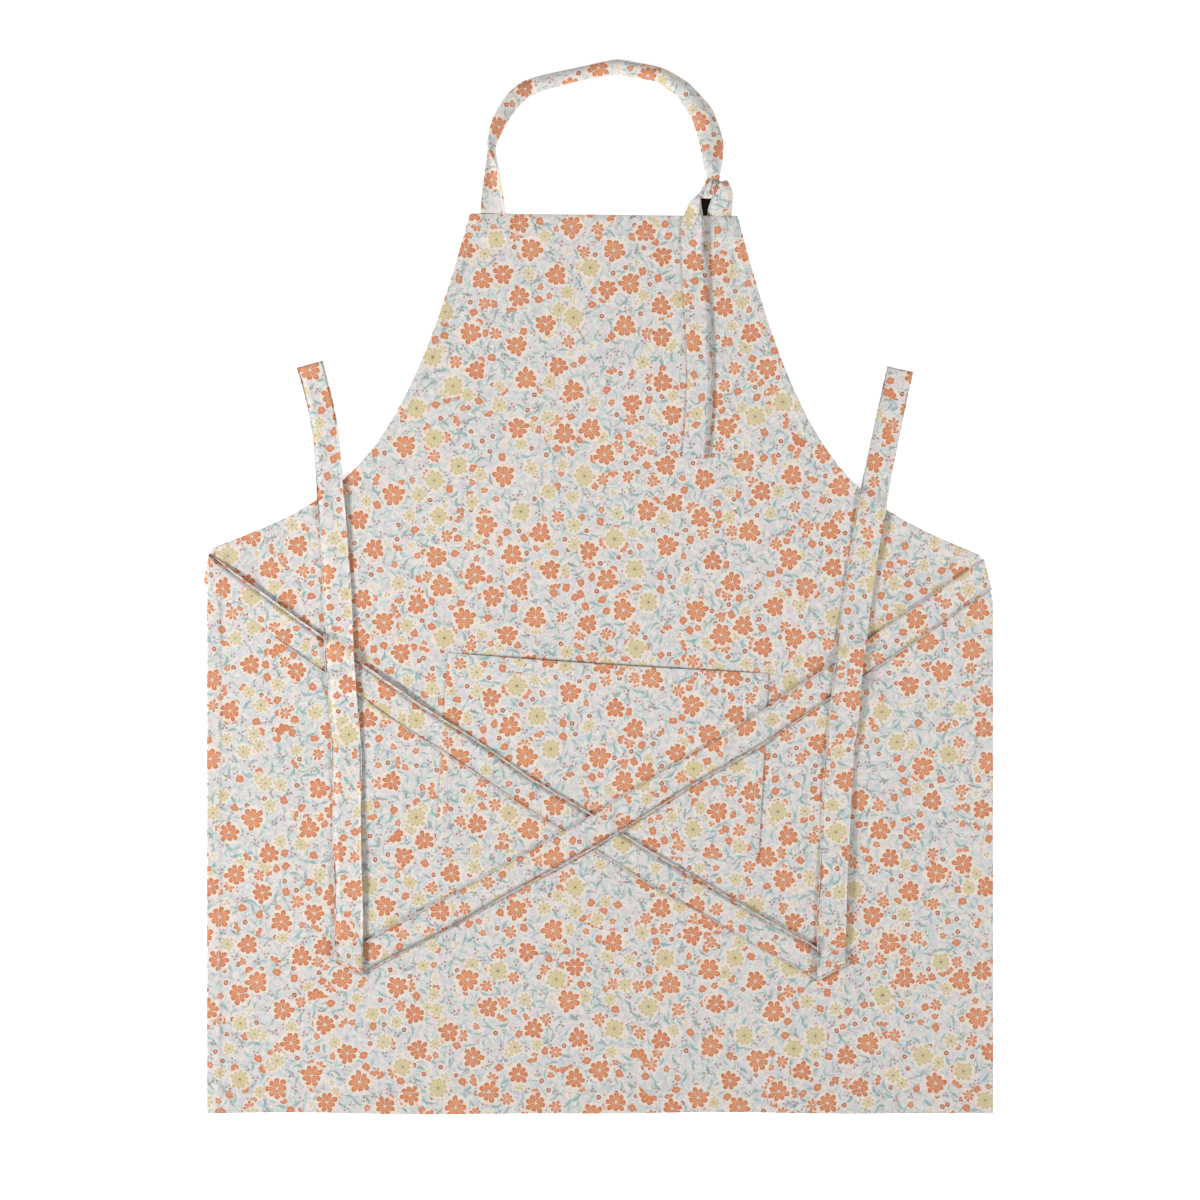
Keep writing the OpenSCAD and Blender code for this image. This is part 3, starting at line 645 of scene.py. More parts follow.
def resting_on(x, y, reach=3, spread=2.0):
    """Height on which cloth laid at these places rests; it bridges steps in soft slopes."""
    field = blurred(widened(stack, reach), spread)
    column = np.clip((x - stack_low[0]) / stack_step, 0, stack_size[0] - 2)
    row = np.clip((y - stack_low[1]) / stack_step, 0, stack_size[1] - 2)
    i, j = row.astype(int), column.astype(int)
    a, b = row - i, column - j
    return ((1 - a) * (1 - b) * field[i, j] + (1 - a) * b * field[i, j + 1]
            + a * (1 - b) * field[i + 1, j] + a * b * field[i + 1, j + 1])


def finer(grid, times):
    """The same grid of places with straight lines cut into more steps, along both directions."""
    for axis in (0, 1):
        old = np.arange(grid.shape[axis])
        new = np.linspace(0, old[-1], (len(old) - 1) * times + 1)
        low = np.minimum(new.astype(int), old[-1] - 1)
        part = (new - low).reshape([-1 if k == axis else 1 for k in range(3)])
        grid = np.take(grid, low, axis) * (1 - part) + np.take(grid, low + 1, axis) * part
    return grid


def pile_up(grid):
    """Adds a laid layer's upper face to the stack."""
    grid = finer(grid, 5).reshape(-1, 3)
    column = np.round((grid[:, 0] - stack_low[0]) / stack_step).astype(int)
    row = np.round((grid[:, 1] - stack_low[1]) / stack_step).astype(int)
    np.maximum.at(stack, (row, column), grid[:, 2])


# ---- Pocket ----
# A patch of the same cotton. Its sides and bottom are turned under and sewn to the skirt; its
# mouth has a wide hem and stands a little open.
pocket_w, pocket_h = 0.284, 0.170
pocket_tilt = math.radians(-3.2)
pocket_turn, pocket_hem = 0.008, 0.016
pocket_low, pocket_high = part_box("pocket")
pocket_middle = np.array([(pocket_low.x + pocket_high.x) / 2, (pocket_low.y + pocket_high.y) / 2])
# How far the real corners stand from a true rectangle: bottom left, bottom right, top left, top right
pocket_corner_shift = np.array([[-0.0020, -0.0012], [0.0012, 0.0022], [-0.0006, 0.0010], [0.0010, -0.0016]])


def on_pocket(u, v):
    """Place on the skirt of a point of the pocket, from its width and height shares."""
    across, up = (u - 0.5) * pocket_w, (v - 0.5) * pocket_h
    x = pocket_middle[0] + across * math.cos(pocket_tilt) - up * math.sin(pocket_tilt)
    y = pocket_middle[1] + across * math.sin(pocket_tilt) + up * math.cos(pocket_tilt)
    for (shift_x, shift_y), weight in zip(pocket_corner_shift,
                                          ((1 - u) * (1 - v), u * (1 - v), (1 - u) * v, u * v)):
        x, y = x + shift_x * weight, y + shift_y * weight
    return x, y


def pocket_shares(x, y):
    dx, dy = x - pocket_middle[0], y - pocket_middle[1]
    across = dx * math.cos(pocket_tilt) + dy * math.sin(pocket_tilt)
    up = -dx * math.sin(pocket_tilt) + dy * math.cos(pocket_tilt)
    return across / pocket_w + 0.5, up / pocket_h + 0.5


pocket_floor_field = blurred(widened(stack, 2), 1.5)


def pocket_z(x, y):
    u, v = pocket_shares(x, y)
    column = np.clip((x - stack_low[0]) / stack_step, 0, stack_size[0] - 1).astype(int)
    row = np.clip((y - stack_low[1]) / stack_step, 0, stack_size[1] - 1).astype(int)
    floor = pocket_floor_field[row, column]
    side = np.minimum(u, 1 - u) * pocket_w
    seam = np.minimum(side, v * pocket_h)
    mouth = (1 - v) * pocket_h
    hem = np.maximum(ease((pocket_turn - seam + 0.0008) / 0.0016),
                     ease((pocket_hem - mouth + 0.0008) / 0.0016))
    belly = 0.0016 * ease(seam / 0.05) * (0.4 + 0.6 * ease(1 - mouth / 0.11))
    ripple = 0.0003 * waves(x, y, 0.06, 31) * ease(seam / 0.03)
    gape = 0.0012 * ease(1 - mouth / 0.03) * ease(side / 0.03) * (0.7 + 0.3 * waves(x, 0 * x, 0.09, 33))
    pucker = 0.00013 * waves(x, y, 0.010, 35) * 4 * hem * (1 - hem)
    return floor + 0.0003 + layer_step * hem + belly + ripple + gape + pucker


u_marks = near_marks(0, pocket_w, 0.0042, [pocket_turn, pocket_w - pocket_turn]) / pocket_w
v_marks = near_marks(0, pocket_h, 0.0042, [pocket_turn, pocket_h - pocket_hem]) / pocket_h
pocket_u, pocket_v = np.meshgrid(u_marks, v_marks)
pocket_x, pocket_y = on_pocket(pocket_u, pocket_v)
pocket_y = pocket_y - 0.0012 * np.sin(math.pi * pocket_u) * ease(1 - (1 - pocket_v) * 8)
nu, nv = len(u_marks), len(v_marks)
pocket_hems = np.concatenate([np.full(nu - 1, pocket_turn), np.full(nv - 1, pocket_turn),
                              np.full(nu - 1, pocket_hem), np.full(nv - 1, pocket_turn)])
pocket = turned_cloth("patch_pocket", pocket_x, pocket_y, pocket_z, pocket_hems,
                      [0, nu - 1, nu + nv - 2, 2 * nu + nv - 3], False, np.array([0.087, 0.131]),
                      printed_cotton)
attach(pocket, "apron")
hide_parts("pocket", "pocket_turned_edges", "pocket_mouth_hem")
pile_up(np.stack([pocket_x, pocket_y, pocket_z(pocket_x, pocket_y) + cloth_t / 2], axis=-1))

# ---- Waist ties ----
# Two long strips of the same cotton, folded in four, pressed and sewn along one edge. Each is sewn
# behind a corner of the skirt, folds round its side, crosses the skirt and turns up at a fold.
tape_t = 0.0010
tie_w = 0.025
tie_sag = 0.012
side_lean = {"left": math.radians(12), "right": math.radians(14)}
fold_radius = 0.0015
joint_place = {joint["name"]: np.array(joint["pos_m"]) for joint in frame["joints"]}
joint_axis = {joint["name"]: np.array(joint["axis"]) for joint in frame["joints"]}


def unit(angle):
    return np.array([math.cos(angle), math.sin(angle)])


def angle_of(vector):
    return math.atan2(vector[1], vector[0])


def length_along(line):
    return np.concatenate([[0], np.cumsum(np.linalg.norm(np.diff(line, axis=0), axis=1))])


def across_marks(width, stitch_in=0.002):
    """Places across a strap, from its left edge to its right, one of them on the edge stitching."""
    half = width / 2
    return np.array([-half, -half + 0.0009, -half + stitch_in, -half + 0.0036, -0.5 * half, -0.2 * half,
                     0.15 * half, 0.5 * half, 0.8 * half, half - 0.0009, half])


def strap_rows(line, width, cut0, cut1, fade=0.035):
    """Grid of flat places along a strap; its ends lie on cut or fold lines of the given angles."""
    at = length_along(line)
    direction = np.gradient(line, at, axis=0)
    direction /= np.linalg.norm(direction, axis=1)[:, None]
    right = np.stack([direction[:, 1], -direction[:, 0]], axis=1)
    places = across_marks(1.0, 0.002 / np.mean(width))
    width = np.broadcast_to(width, at.shape)
    grid = line[:, None, :] + places[None, :, None] * width[:, None, None] * right[:, None, :]
    for cut, end, reach in ((cut0, 0, at), (cut1, -1, at[-1] - at)):
        if cut is None:
            continue
        skew = unit(cut) / math.sin(angle_of(direction[end]) - cut)
        slanted = line[:, None, :] + places[None, :, None] * width[:, None, None] * skew
        part = ease(1 - reach / fade)[:, None, None]
        grid = grid * (1 - part) + slanted * part
    return grid


def ribbon(name, middle, thick, uv_start, material, pillow=0.22):
    """A closed strip of folded cloth about a grid of middle points, with rounded edges."""
    steps, marks = middle.shape[:2]
    along = np.gradient(middle, axis=0)
    across = np.gradient(middle, axis=1)
    up = np.cross(across, along)
    up /= np.linalg.norm(up, axis=2)[..., None]
    sideways = across / np.linalg.norm(across, axis=2)[..., None]
    spread = np.linspace(-1, 1, marks)
    dent = np.where(np.arange(marks) == 2, 0.78, 1.0)
    half = thick / 2 * (1 - pillow * np.abs(spread) ** 4) * dent
    face = middle + up * half[None, :, None]
    back = middle - up * half[None, :, None]
    rim = []
    for edge, sign in ((-1, 1), (0, -1)):
        tilt = np.radians((50, 0, -50)) * sign
        rim.append(np.stack([middle[:, edge] + half[edge] * (sign * math.cos(a) * sideways[:, edge]
                             + math.sin(a) * up[:, edge]) for a in tilt], axis=1))
    ring = np.concatenate([face, rim[0], back[:, ::-1], rim[1]], axis=1)
    size = ring.shape[1]
    span = np.linalg.norm(np.diff(np.concatenate([ring, ring[:, :1]], axis=1), axis=1), axis=2)
    u = np.concatenate([np.zeros((steps, 1)), np.cumsum(span, axis=1)], axis=1)
    u -= u[:, marks // 2:marks // 2 + 1]
    v = np.concatenate([[0], np.cumsum(np.linalg.norm(np.diff(middle[:, marks // 2], axis=0), axis=1))])
    index = np.arange(steps * size).reshape(steps, size)
    following = np.roll(index, -1, axis=1)
    quads = np.stack([index[:-1], following[:-1], following[1:], index[1:]], axis=-1).reshape(-1, 4)
    i = np.broadcast_to(np.arange(steps - 1)[:, None], (steps - 1, size))
    uu = np.stack([u[:-1, :-1], u[:-1, 1:], u[1:, 1:], u[1:, :-1]], axis=-1)
    vv = np.stack([v[i], v[i], v[i + 1], v[i + 1]], axis=-1)
    uv = np.stack([uu, vv], axis=-1).reshape(-1, 2)
    caps = [index[0, ::-1].tolist(), index[-1].tolist()]
    cap_uv = [np.stack([u[0, :size][::-1], np.zeros(size)], axis=1),
              np.stack([u[-1, :size], np.full(size, v[-1])], axis=1)]
    uv = np.vstack([uv, *cap_uv]) + np.array(uv_start)
    return new_piece(name, ring.reshape(-1, 3), quads.tolist() + caps, uv, material)


def turn_over(lower, upper, outward, steps=7):
    """Rows that lead round a fold from a lower row of points to an upper one."""
    rows = []
    for angle in np.linspace(-math.pi / 2, math.pi / 2, steps)[1:-1]:
        share = (1 + math.sin(angle)) / 2
        row = lower * (1 - share) + upper * share
        radius = (upper[:, 2] - lower[:, 2]) / 2
        row[:, :2] += np.outer(0.6 * radius * math.cos(angle), outward)
        rows.append(row)
    return np.array(rows)


def sagging(start, end, sag, step=0.0028):
    """Line across the skirt that sags to the right of its direction."""
    t = spaced(0, 1, step / np.linalg.norm(end - start))[:, None]
    across = unit(angle_of(end - start) - math.pi / 2)
    return start + t * (end - start) + 4 * t * (1 - t) * sag * across


def laid(flat, thick, lift=0.0, gap=0.00008):
    """A flat grid laid on the stack: its middle points, in place."""
    z = resting_on(flat[..., 0], flat[..., 1]) + gap + thick / 2 + lift
    return np.concatenate([flat, z[..., None]], axis=-1)


def wavering(line, amount, seed):
    """The line with slight sideways wandering, none at its ends."""
    at = length_along(line)
    direction = np.gradient(line, axis=0)
    direction /= np.linalg.norm(direction, axis=1)[:, None]
    off = amount * waves(at, 0 * at, 0.13, seed) * np.sin(math.pi * at / at[-1])
    return line + off[:, None] * np.stack([direction[:, 1], -direction[:, 0]], axis=1)


# Side, then the way the tie goes round, its joint and body, and where its print starts
ties = (("left", 1, "left_tie_end_lift", "left_tie_end", (0.31, 0.02)),
        ("right", -1, "right_tie_end_lift", "right_tie_end", (0.55, 0.40)))
tie_grids, tie_ends = {}, {}
for side, sign, joint, body, print_start in ties:
    low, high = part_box(side + "_tie_side_fold")
    bulge = (high.z - low.z) / 2
    side_fold = np.array([(low.x + high.x) / 2 + sign * bulge / 2, (low.y + high.y) / 2])
    lower_fold = joint_place[joint][:2]
    line = wavering(sagging(side_fold, lower_fold, sign * tie_sag), 0.0012, 41 if sign > 0 else 43)
    start_angle = angle_of(line[1] - line[0])
    side_crease = -sign * (math.pi / 2 + side_lean[side])
    lower_crease = angle_of(joint_axis[joint])
    at = length_along(line)
    width = tie_w * (1 + 0.025 * waves(at, 0 * at, 0.09, 45 if sign > 0 else 46))
    flat = strap_rows(line, width, side_crease, lower_crease)
    edge_curl = np.zeros(flat.shape[:2])
    across = np.linspace(-1, 1, flat.shape[1])[None, :]
    upper, lower = (across < 0, across > 0) if sign > 0 else (across > 0, across < 0)
    free = ease(at / 0.03) * ease((at[-1] - at) / 0.03)
    edge_curl += upper * across ** 4 * (free * (0.0016 + 0.0014 * waves(at, 0 * at, 0.16, 47)))[:, None]
    edge_curl += lower * across ** 4 * (free * (0.0011 + 0.0010 * waves(at, 0 * at, 0.12, 48)))[:, None]
    ripple = 0.0002 * waves(*np.broadcast_arrays(at[:, None], 0 * flat[..., 0]), 0.02, 49)
    run = laid(flat, tape_t, edge_curl + ripple)
    # Behind the corner: from the cut end out to the side fold
    inwards = 2 * side_crease - start_angle + math.pi
    hidden_l = 0.030
    back_line = side_fold + np.linspace(hidden_l, 0, 9)[:, None] * unit(inwards)
    back_flat = strap_rows(back_line, tie_w, None, side_crease, fade=0.02)[:, ::-1]
    back = np.concatenate([back_flat, np.full(back_flat.shape[:2] + (1,), tape_t / 2 + 0.0001)], axis=-1)
    back[-1, :, :2] = run[0, :, :2]
    outward = unit(side_crease + math.pi / 2)
    if np.dot(outward, [sign, 0]) > 0:
        outward = -outward
    round_side = turn_over(back[-1], run[0], outward)
    whole = np.concatenate([back, round_side, run])
    tie = ribbon(side + "_waist_tie", whole, tape_t, print_start, printed_cotton)
    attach(tie, "apron")
    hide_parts(side + "_tie_sewn_end", side + "_tie_side_fold", side + "_tie")
    length_along(line)[-1] + hidden_l
    pile_up(run + np.array([0, 0, tape_t / 2]))
    tie_grids[side] = (run, lower_crease, length_along(line)[-1])

for side, sign, joint, body, print_start in ties:
    run, crease, used = tie_grids[side]
    low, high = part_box(side + "_tie_end")
    start = joint_place[joint][:2]
    end_l = high.y - start[1]
    drift = (high.x - tie_w / 2 - start[0]) if sign > 0 else (low.x + tie_w / 2 - start[0])
    t = spaced(0, 1, 0.0028 / end_l)[:, None]
    hook = np.array([0.0 if sign > 0 else -0.009, 0.0]) * ease((t - 0.86) / 0.28) * 2
    line = wavering(start + t * t * np.array([drift, 0]) + t * np.array([0, end_l]) + hook,
                    0.0016, 51 if sign > 0 else 53)
    at = length_along(line)
    uneven = waves(at, 0 * at, 0.08, 55 if sign > 0 else 56)
    width = tie_w * (1 - 0.06 * ease((at - 0.3) / 0.2) + 0.03 * uneven)
    flat = strap_rows(line, width, crease, None)[:, ::-1]
    rise = 2 * fold_radius * ease(1 - at / 0.045)[:, None]
    left_share = np.linspace(1, 0, flat.shape[1])
    left_lift = 0.0042 if sign > 0 else 0.0034
    raised = left_lift * left_share ** 3 * (0.6 + 0.4 * waves(at, 0 * at, 0.16, 57))[:, None]
    right_share = np.linspace(0, 1, flat.shape[1])
    raised = raised + 0.0014 * right_share ** 3 * (0.5 + 0.5 * waves(at, 0 * at, 0.11, 59))[:, None]
    lift = np.maximum(rise, raised * ease(at / 0.03)[:, None])
    end = laid(flat, tape_t, lift)
    end[0, :, :2] = run[-1, :, :2]
    print_on = (print_start[0], print_start[1] + used)
    end_piece = ribbon(side + "_tie_end_run", end, tape_t, print_on, printed_cotton)
    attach(end_piece, body)
    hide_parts(side + "_tie_end")
    outward = unit(crease - math.pi / 2)
    fold_rows = np.concatenate([run[-2:-1], run[-1:], turn_over(run[-1], end[0], outward, 11), end[:1]])[1:]
    fold = ribbon(side + "_tie_lower_fold", fold_rows, tape_t, print_on, printed_cotton)
    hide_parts(side + "_tie_fold")
    low_z, high_z = run[-1, :, 2].max() + tape_t / 2, end[0, :, 2].min() - tape_t / 2
    min(low_z, high_z - 0.0004)
    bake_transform(fold)
    pile_up(end + np.array([0, 0, tape_t / 2]))
    tie_ends[side] = end

# ---- Neck strap ----
# A strip of the same cotton, folded in four and sewn along one edge. It is sewn behind the bib at
# the left, makes a half twist, arches over on the table half rolled up, and runs into the loop at
# the right, where it is wrapped into a knot.
neck_w = 0.022
bib_y = panel_high.y
rolled_marks = np.array([-1, -0.93, -0.82, -0.68, -0.5, -0.3, -0.1, 0.1, 0.3, 0.5, 0.68, 0.82, 0.93, 1])


def eased(values, spread):
    """Values along a strap with their corners rounded."""
    reach = int(3 * spread)
    taps = np.exp(-0.5 * (np.arange(-reach, reach + 1) / spread) ** 2)
    taps /= taps.sum()
    longer = np.concatenate([2 * values[0] - values[reach:0:-1], values,
                             2 * values[-1] - values[-2:-reach - 2:-1]])
    return np.convolve(longer, taps, "valid")


def rolled_strap(stations, width, thick, step=0.0022):
    """Middle grid of a strap that turns and curls as it goes.

    Each station is x, y, height of its lowest edge, turn about its own length in degrees, and curl.
    """
    stations = np.array(stations, float)
    at = length_along(stations[:, :2])
    fine = spaced(0, at[-1], 0.001)
    x, y, low, turn, curl = [eased(np.interp(fine, at, stations[:, k]), 3.5) for k in range(5)]
    line = np.stack([x, y], axis=1)
    pick_rows = np.unique(np.round(np.linspace(0, len(fine) - 1, round(at[-1] / step))).astype(int))
    direction = np.gradient(line, axis=0)
    direction /= np.linalg.norm(direction, axis=1)[:, None]
    right = np.stack([direction[:, 1], -direction[:, 0]], axis=1)
    dense = np.linspace(-1, 1, 81)
    rows = []
    for k in pick_rows:
        heading = math.radians(turn[k]) + curl[k] * dense
        half = width / 2 * (dense[1] - dense[0])
        out = np.concatenate([[0], np.cumsum((np.cos(heading[1:]) + np.cos(heading[:-1])) / 2 * half)])
        up = np.concatenate([[0], np.cumsum((np.sin(heading[1:]) + np.sin(heading[:-1])) / 2 * half)])
        out -= (out.max() + out.min()) / 2
        up += low[k] + thick / 2 - up.min()
        out, up = np.interp(rolled_marks, dense, out), np.interp(rolled_marks, dense, up)
        rows.append(np.column_stack([line[k] + out[:, None] * right[k], up]))
    return np.array(rows)


strap_low, strap_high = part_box("neck_strap_sewn_end")
strap_x = (strap_low.x + strap_high.x) / 2
# x and y, lowest height, turn, curl
neck_stations = (
    (strap_x, strap_low.y, 0.0001, 0, 0), (strap_x, bib_y - 0.012, 0.0001, 0, 0),
    (-0.0955, bib_y - 0.001, 0.0002, 3, 0.1), (-0.0962, 0.352, 0.0002, 28, 0.7),
    (-0.0965, 0.372, 0.0002, 52, 1.1), (-0.0970, 0.391, 0.0002, 92, 1.5),
    (-0.0905, 0.412, 0.0002, 130, 1.5), (-0.0800, 0.430, 0.0002, 150, 1.4),
    (-0.0670, 0.4435, 0.0002, 160, 1.6), (-0.0560, 0.4470, 0.0002, 196, 1.6),
    (-0.0240, 0.4550, 0.0002, 188, 1.95), (0.0140, 0.4630, 0.0004, 176, 1.75),
    (0.0540, 0.4560, 0.0004, 180, 1.7), (0.0740, 0.4430, 0.0006, 186, 1.42),
    (0.0915, 0.4210, 0.0010, 186, 0.75), (0.0995, 0.3960, 0.0016, 182, 0.5),
    (0.1005, 0.3780, 0.0020, 182, 1.2), (0.1010, 0.3645, 0.0022, 180, 2.0),
    (0.1005, 0.3560, 0.0020, 180, 2.3))
neck_middle = rolled_strap(neck_stations, neck_w, tape_t)
neck_along = np.arange(len(neck_middle))[:, None]
neck_ripple = 0.0003 * waves(neck_along * 0.0022, rolled_marks[None, :] * 0.02, 0.03, 61)
neck_middle[..., 2] += neck_ripple * (neck_middle[..., 1] > bib_y + 0.01)
neck_middle[..., 2] = np.maximum(neck_middle[..., 2], tape_t / 2 + 0.0001)
into_knot = ease((0.374 - neck_middle[..., 1]) / 0.012) * (neck_middle[..., 0] > 0)
neck_middle[..., 2] *= 1 - 0.5 * into_knot
tallest = cad_box[1].z + 0.0085
neck_middle[..., 2] = np.minimum(neck_middle[..., 2], tallest)
neck_strap = ribbon("neck_strap_arch", neck_middle, tape_t, (0.17, 0.23), printed_cotton)
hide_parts("neck_strap_sewn_end", "neck_strap")
neck_l = length_along(neck_middle[:, 7])[-1]
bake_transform(neck_strap)

# ---- Neck loop ----
# A short strap of the same cotton doubled into a loop, both ends sewn behind the bib at the right.
# The knot hangs in it and pulls its top together. The inner face of its back layer carries painted
# shade: a nearly black cloth that stands for the deep shade inside the loop.
loop_w = 0.0215
loop_low, loop_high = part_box("neck_loop_sewn_end")
loop_x = (loop_low.x + loop_high.x) / 2
sewn_left, sewn_right = loop_x - 0.0105, loop_x + 0.0105
# Left edge, right edge, y and height of the middle, from the front layer's end over the top and down
loop_stations = np.array((
    (sewn_left, sewn_right, loop_low.y, 0.0016), (sewn_left, sewn_right, bib_y - 0.006, 0.0016),
    (0.0958, 0.1168, bib_y + 0.001, 0.0024), (0.0968, 0.1175, 0.3370, 0.0044),
    (0.0992, 0.1180, 0.3440, 0.0062),
    (0.1035, 0.1178, 0.3505, 0.0078), (0.1052, 0.1160, 0.3555, 0.0080), (0.1056, 0.1140, 0.3592, 0.0068),
    (0.1040, 0.1130, 0.3612, 0.0046), (0.1000, 0.1125, 0.3600, 0.0022), (0.0935, 0.1125, 0.3550, 0.0007),
    (0.0895, 0.1120, 0.3450, 0.0006), (0.0895, 0.1125, bib_y + 0.002, 0.0006),
    (sewn_left, sewn_right, bib_y - 0.006, 0.0006), (sewn_left, sewn_right, loop_low.y, 0.0006)))
loop_at = length_along(np.column_stack([loop_stations[:, :2].mean(axis=1), loop_stations[:, 2:]]))
loop_fine = spaced(0, loop_at[-1], 0.0008)
loop_left, loop_right, loop_y, loop_z = [
    eased(np.interp(loop_fine, loop_at, loop_stations[:, k]), 2.2) for k in range(4)]
loop_share = (across_marks(1.0, 0.002 / loop_w) + 0.5)[None, :]
# The front layer's left edge curls down towards the shade and the whole is softly domed and pleated
pull = ease((loop_y - 0.334) / 0.02)[:, None]
dome = np.sin(math.pi * loop_share) * (0.0012 + 0.0022 * pull) * (loop_fine < loop_fine[-1] * 0.45)[:, None]
pleat = 0.0005 * np.cos(2 * math.pi * 3 * loop_share + 0.6) * pull * (loop_z[:, None] > 0.003)
loop_middle = np.stack([
    loop_left[:, None] * (1 - loop_share) + loop_right[:, None] * loop_share,
    loop_y[:, None] + 0.0006 * pull * np.cos(7 * loop_share),
    np.maximum(loop_z[:, None] + dome + pleat, tape_t * 0.45 + 0.0001)], axis=-1)[::-1]
neck_loop = ribbon("neck_loop_strap", loop_middle, tape_t * 0.9, (0.41, 0.31), printed_cotton)


def grained(name, grain, dark, light, green, blue, relief, roughness):
    """A plain matt material whose shade varies in a fine grain; green and blue are shares of red."""
    material = bpy.data.materials.new(name)
    material.use_nodes = True
    tree = material.node_tree
    add, calc = pen(tree)
    shader = tree.nodes["Principled BSDF"]
    noise = add("TexNoise", {"Scale": grain, "Detail": 2.0}).outputs[0]
    red = add("MapRange", {"Value": noise, "To Min": dark, "To Max": light}).outputs[0]
    colour = add("CombineColor", {0: red, 1: calc("MULTIPLY", red, green), 2: calc("MULTIPLY", red, blue)})
    tree.links.new(colour.outputs[0], shader.inputs["Base Color"])
    tree.links.new(add("Bump", {"Height": noise, "Distance": relief}).outputs[0], shader.inputs["Normal"])
    shader.inputs["Roughness"].default_value = roughness
    return material


# Painted shade: a nearly black, brown-tinted cloth that stands for the deep shade inside the loop
painted_shade = grained("painted_deep_shade", 900.0, 0.010, 0.045, 0.82, 0.6, 0.0002, 0.95)
painted_shade.node_tree.nodes["Principled BSDF"].inputs["Specular IOR Level"].default_value = 0.05
neck_loop.data.materials.append(painted_shade)
# The painted shade goes on the back layer's low, upward-facing faces inside the loop
for face in neck_loop.data.polygons:
    if face.center.z < 0.0022 and face.normal.z > 0.3 and face.center.y > bib_y - 0.004:
        face.material_index = 1
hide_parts("neck_loop_sewn_end", "neck_loop")
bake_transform(neck_loop)

# ---- Knot and free tail ----
# The strap's end is wrapped round the loop, fans out in tight creases, folds over and lies down
# the bib's front, its right edge standing a little proud. Its end is turned in square.
knot_share = np.linspace(0, 1, 25)[None, :]
# Left end and right end of each row (x, y), height
knot_rows = np.array((
    (0.0960, 0.3632, 0.1058, 0.3612, 0.0052), (0.0948, 0.3612, 0.1058, 0.3588, 0.0080),
    (0.0925, 0.3565, 0.1058, 0.3545, 0.0086), (0.0898, 0.3515, 0.1060, 0.3505, 0.0082),
    (0.0885, 0.3480, 0.1055, 0.3480, 0.0072), (0.0882, 0.3462, 0.1045, 0.3464, 0.0058),
    (0.0884, 0.3455, 0.1038, 0.3458, 0.0040), (0.0888, 0.3464, 0.1035, 0.3468, 0.0026),
    (0.0900, 0.3500, 0.1035, 0.3500, 0.0020), (0.0930, 0.3560, 0.1035, 0.3550, 0.0020)))
knot_at = length_along(knot_rows[:, [0, 1, 4]])
knot_fine = spaced(0, knot_at[-1], 0.0006)
knot_left_x, knot_left_y, knot_right_x, knot_right_y, knot_z = [
    eased(np.interp(knot_fine, knot_at, knot_rows[:, k]), 1.5)[:, None] for k in range(5)]
knot_crease = 0.00065 * np.cos(2 * math.pi * 3.5 * knot_share ** 1.2)
knot_crease = knot_crease + 0.0003 * np.cos(2 * math.pi * 8 * knot_share + 1)
on_top = ease((knot_z - 0.004) / 0.002)
knot_bulge = np.sin(math.pi * knot_share)
knot_middle = np.stack([
    knot_left_x * (1 - knot_share) + knot_right_x * knot_share,
    knot_left_y * (1 - knot_share) + knot_right_y * knot_share - 0.0012 * knot_bulge * on_top,
    knot_z + knot_crease * on_top + 0.0016 * (knot_bulge - 0.6) * on_top], axis=-1)
knot = ribbon("neck_strap_knot", knot_middle, 0.0009, (0.655, 0.142), printed_cotton)
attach(knot, "neck_loop")
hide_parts("neck_strap")

follow_y, lift_y = joint_place["tail_follow"][1], joint_place["tail_lift"][1]
tail_end_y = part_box("neck_strap_tail")[0].y
# Left edge (x, y), right edge (x, y); the first row is gathered inside the knot
tail_rows = np.array((
    (0.0880, 0.3462, 0.0930, 0.3540),
    (0.0803, 0.3440, 0.0884, 0.3496), (0.0790, 0.3400, 0.0893, 0.3440), (0.0772, 0.3355, 0.0901, 0.3380),
    (0.0743, 0.3280, 0.0916, 0.3285), (0.0727, lift_y, 0.0922, lift_y), (0.0722, 0.3120, 0.0932, 0.3120),
    (0.0732, 0.2950, 0.0950, 0.2950), (0.0750, 0.2615, 0.0972, 0.2615), (0.0773, 0.2250, 0.0994, 0.2250),
    (0.0785, 0.1865, 0.1003, 0.1865), (0.0770, 0.1500, 0.0993, 0.1500),
    (0.0738, tail_end_y + 0.0008, 0.0956, tail_end_y)))
tail_at = length_along((tail_rows[:, :2] + tail_rows[:, 2:]) / 2)
tail_fine = spaced(0, tail_at[-1], 0.001)
tail_edges = [eased(np.interp(tail_fine, tail_at, tail_rows[:, k]), 2.5) for k in range(4)]
tail_share = (across_marks(1.0, 0.002 / neck_w) + 0.5)[::-1][None, :]
tail_flat = np.stack([tail_edges[k][:, None] * tail_share + tail_edges[k + 2][:, None] * (1 - tail_share)
                      for k in (0, 1)], axis=-1)
# A level row at the bend, so the two pieces of the tail meet there
level = ease(1 - np.abs(tail_flat[..., 1].mean(axis=1) - lift_y) / 0.004)[:, None]
bend_row = int(np.argmin(np.abs(tail_flat[..., 1].mean(axis=1) - lift_y)))
tail_flat[..., 1] = tail_flat[..., 1] * (1 - level) + tail_flat[..., 1].mean(axis=1)[:, None] * level
tail_flat[..., 1] += (lift_y - tail_flat[bend_row, 0, 1]) * level
